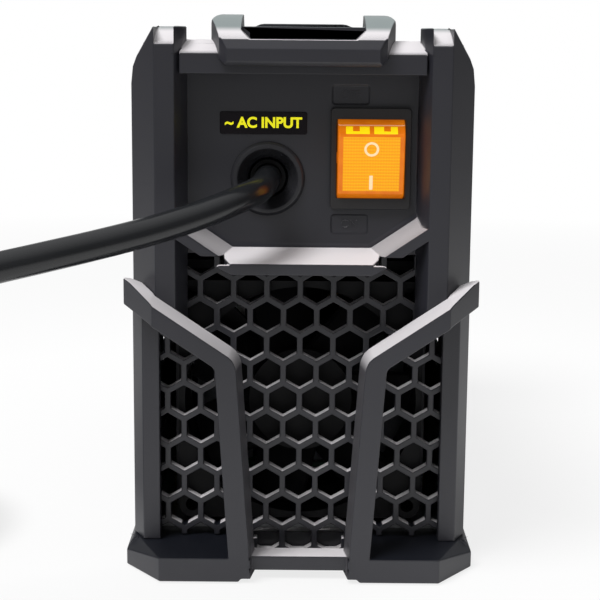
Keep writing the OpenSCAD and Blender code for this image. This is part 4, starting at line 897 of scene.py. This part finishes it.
# The cream ink has a painted glow.
cream_ink = printed("cream_ink", (0.90, 0.62, 0.34), (0.98, 0.74, 0.46), 0.5)
rocker_face = 0.013 * math.cos(math.radians(47.3))
face_up = np.array((0.0, -math.sin(rocker_lean), math.cos(rocker_lean)))
face_out = np.array((0.0, -math.cos(rocker_lean), -math.sin(rocker_lean)))
face_middle = np.array(rocker_pin) + rocker_face * face_out
ink = (0.00003, 0.00010)
off_middle = face_middle + 0.0052 * face_up
on_middle = face_middle - 0.0056 * face_up
off_mark = placed(ring(0.00195, 0.00075, *ink), off_middle, (1, 0, 0), face_up)
on_mark = placed(slab(oval(0.0011, 0.0046, 0.0002), *ink), on_middle, (1, 0, 0), face_up)
new_piece("rocker_marks", together([off_mark, on_mark]), cream_ink, "rocker")


def lettering(words, width, height, weight, low, high):
    """Words as a thin solid, fitted to a width and a height about their middle."""
    curve = bpy.data.curves.new("words", "FONT")
    curve.body = words
    curve.extrude = 0.5
    curve.offset = weight
    drawn = bpy.data.objects.new("words", curve)
    scene.collection.objects.link(drawn)
    mesh = bpy.data.meshes.new_from_object(drawn.evaluated_get(bpy.context.evaluated_depsgraph_get()))
    points = np.zeros(len(mesh.vertices) * 3)
    mesh.vertices.foreach_get("co", points)
    points = points.reshape(-1, 3)
    faces = [list(polygon.vertices) for polygon in mesh.polygons]
    bpy.data.objects.remove(drawn)
    bpy.data.curves.remove(curve)
    bpy.data.meshes.remove(mesh)
    lowest, highest = points.min(0), points.max(0)
    share = (points - lowest) / (highest - lowest) - (0.5, 0.5, 0.0)
    return share * (width, height, high - low) + (0.0, 0.0, low), faces


panel_face = rear + 0.022
word_floor = panel_face + 0.0005
word_x = 0.0151
words = [
    placed(lettering(word, width, 0.0026, 0.0, 0.0, 0.0003), (word_x, word_floor, z), (1, 0, 0), (0, 0, 1))
    for word, width, z in (("OFF", 0.0062, 0.1532), ("ON", 0.0050, 0.1122))]
new_piece("switch_words", together(words), black_plastic, "case")


# Supply label.
# A glossy black film with rounded corners stuck above the gland, printed in yellow.
film, film_place = new_finish("label_film", Specular_IOR_Level=0.3)
film_wave = noise(film_place, 140.0)
feed(film, Base_Color=shade(film_wave, (0.005, 0.004, 0.006), (0.010, 0.006, 0.009)),
     Roughness=0.16 + 0.08 * film_wave, Normal=relief(film_wave, 0.08, 0.0004))
soften("supply_label", 0.00015, film)
label_low, label_high = (np.array(corner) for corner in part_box("supply_label"))
label_middle = (label_low + label_high) / 2.0
label_front = (label_middle[0], label_low[1], label_middle[2] + 0.0002)
# The yellow ink has a painted glow.
yellow_ink = printed("yellow_ink", (0.94, 0.88, 0.01), (1.0, 0.96, 0.02), 0.5)
supply_letters = lettering("~ AC INPUT", 0.0244, 0.0035, 0.035, 0.00002, 0.00008)
supply_words = placed(supply_letters, label_front, (1, 0, 0), (0, 0, 1))
new_piece("supply_words", supply_words, yellow_ink, "case")


# Cable gland.
# A smooth nylon gland through the panel with a nut behind it. A tapered rubber relief inside it grips the
# cord.
gland_nylon = moulded("gland_nylon", (0.026, 0.026, 0.030), (0.034, 0.034, 0.038), 0.26, 0.0008, 0.06)
soften("cable_gland", 0.0003, gland_nylon)
dress("gland_nut", gland_nylon)
# The strain relief takes the same near-black, as painted shade in the gland's mouth.
dress("strain_relief", painted_shade_plastic)


# Front controls.
# A black knob on the potentiometer's shaft with a white pointer, a printed scale on the panel, a smoked
# window over the figures, and three indicator lamps.
soften("current_knob", 0.0003, bezel_plastic)
for name in ("knob_shaft", "potentiometer_nut"):
    dress(name, nickel)
dress("potentiometer", extruded)
white_ink = printed("white_ink", (0.70, 0.70, 0.68), (0.80, 0.80, 0.78))
front = -rear
front_panel = front - 0.022
knob_at = np.array((-0.018, front - 0.007, 0.129))
front_across, front_up = (-1, 0, 0), (0, 0, 1)
pointer_bar = slab(oval(0.0011, 0.0092, 0.0003), -0.0006, -0.00005)
pointer = placed(pointer_bar, knob_at + (0, 0, 0.0066), front_across, front_up)
new_piece("knob_pointer", pointer, white_ink, "knob")
dial_at = np.array((knob_at[0], front_panel, knob_at[2]))
dial_ink = (0.00002, 0.00010)
dial_steps = 10
tick_radius = 0.0140
number_radius = 0.0178


def dial_spoke(step):
    """Way from the knob's middle to a step of its scale, which goes three quarters of a turn."""
    angle = math.radians(135.0 - 270.0 * step / dial_steps)
    return np.array((math.sin(angle), 0.0, math.cos(angle)))


dial_marks = []
for step in range(dial_steps + 1):
    spoke = dial_spoke(step)
    tick = slab(oval(0.0005, 0.0014 if step % 5 else 0.0020, 0.0001), *dial_ink)
    dial_marks.append(placed(tick, dial_at + tick_radius * spoke, (-spoke[2], 0.0, spoke[0]), spoke))
for number, step, width in (("20", 0, 0.0036), ("110", 5, 0.0050), ("200", 10, 0.0056)):
    figure = lettering(number, width, 0.0027, 0.01, *dial_ink)
    dial_marks.append(placed(figure, dial_at + number_radius * dial_spoke(step), front_across, front_up))
new_piece("dial_marks", together(dial_marks), white_ink, "case")
smoked, smoked_place = new_finish("smoked_window", Coat_Weight=0.7, Coat_Roughness=0.03)
smoked_drift = noise(smoked_place, 90.0)
feed(smoked, Base_Color=shade(smoked_drift, (0.012, 0.003, 0.003), (0.020, 0.005, 0.005)),
     Roughness=0.10 + 0.05 * smoked_drift)
soften("display_window", 0.0004, smoked)
dress("display_module", moulded("display_case", (0.03, 0.03, 0.03), (0.05, 0.05, 0.05), 0.5, 0.0006, 0.1))
window_low, window_high = (np.array(corner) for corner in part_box("display_window"))
window_middle = (window_low + window_high) / 2.0
window_at = np.array((window_middle[0], window_high[1], window_middle[2]))
digit_width = 0.0044
digit_height = 0.0086
digit_pitch = 0.0075
segment = 0.0009
lean = 0.12
segments = (
    (0, 1, False), (0, 0, False), (0, -1, False),
    (-1, 0.5, True), (1, 0.5, True), (-1, -0.5, True), (1, -0.5, True))
figures = []
for digit in (-1, 0, 1):
    for across, up, upright in segments:
        x = digit * digit_pitch + across * digit_width / 2.0 + lean * up * digit_height / 2.0
        length = (digit_height / 2.0 if upright else digit_width) - segment * 1.3
        way = (lean, 1.0) if upright else (1.0, 0.0)
        bar = slab(oval(segment, length, segment * 0.49, 4), 0.00002, 0.00006)
        long = np.array((-way[0], 0.0, way[1])) / math.hypot(*way)
        at = window_at + (-x, 0.0, up * digit_height / 2.0)
        figures.append(placed(bar, at, np.cross(long, (0.0, 1.0, 0.0)), long))
unlit = printed("unlit_figure", (0.05, 0.012, 0.012), (0.07, 0.02, 0.02))
new_piece("display_figures", together(figures), unlit, "case")
lens, lens_place = new_finish("lamp_lens", Transmission_Weight=0.3, Coat_Weight=0.5)
lens_drift = noise(lens_place, 400.0)
lens_across = part_of(lens_place, 0)
lens_amber = shade(lens_drift, (0.55, 0.40, 0.06), (0.65, 0.48, 0.10))
lens_tone = shade(lens_across > 0.019, lens_amber, (0.45, 0.06, 0.04))
lens_tone = shade(lens_across < 0.009, lens_tone, (0.10, 0.42, 0.12))
feed(lens, Base_Color=lens_tone, Roughness=0.22 + 0.1 * lens_drift)
dress("indicator_lenses", lens)


# Output sockets.
# Turned brass inserts in moulded bodies, one red and one black, held by brass nuts behind the plate. The
# signs beside them are raised on the plate and painted.
for name in ("plus_insert", "minus_insert", "socket_nuts"):
    dress(name, brass)
red_plastic = moulded("red_plastic", (0.22, 0.012, 0.012), (0.30, 0.020, 0.018), 0.38, 0.0006, 0.1)
soften("plus_socket", 0.0004, red_plastic)
soften("minus_socket", 0.0004, bezel_plastic)
plate_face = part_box("socket_plate")[1][1]
sign_height = 0.0685
stroke = oval(0.009, 0.0022, 0.0005)
signs = []
for x, turns in ((-0.022, 2), (0.022, 1)):
    for turn in range(turns):
        outline = stroke if turn == 0 else stroke[:, ::-1]
        depth = 0.0006 + 0.00002 * turn
        sign = slab(outline, -0.0002, depth)
        signs.append(placed(sign, (x, plate_face, sign_height), front_across, front_up))
new_piece("polarity_signs", together(signs), white_ink, "case")
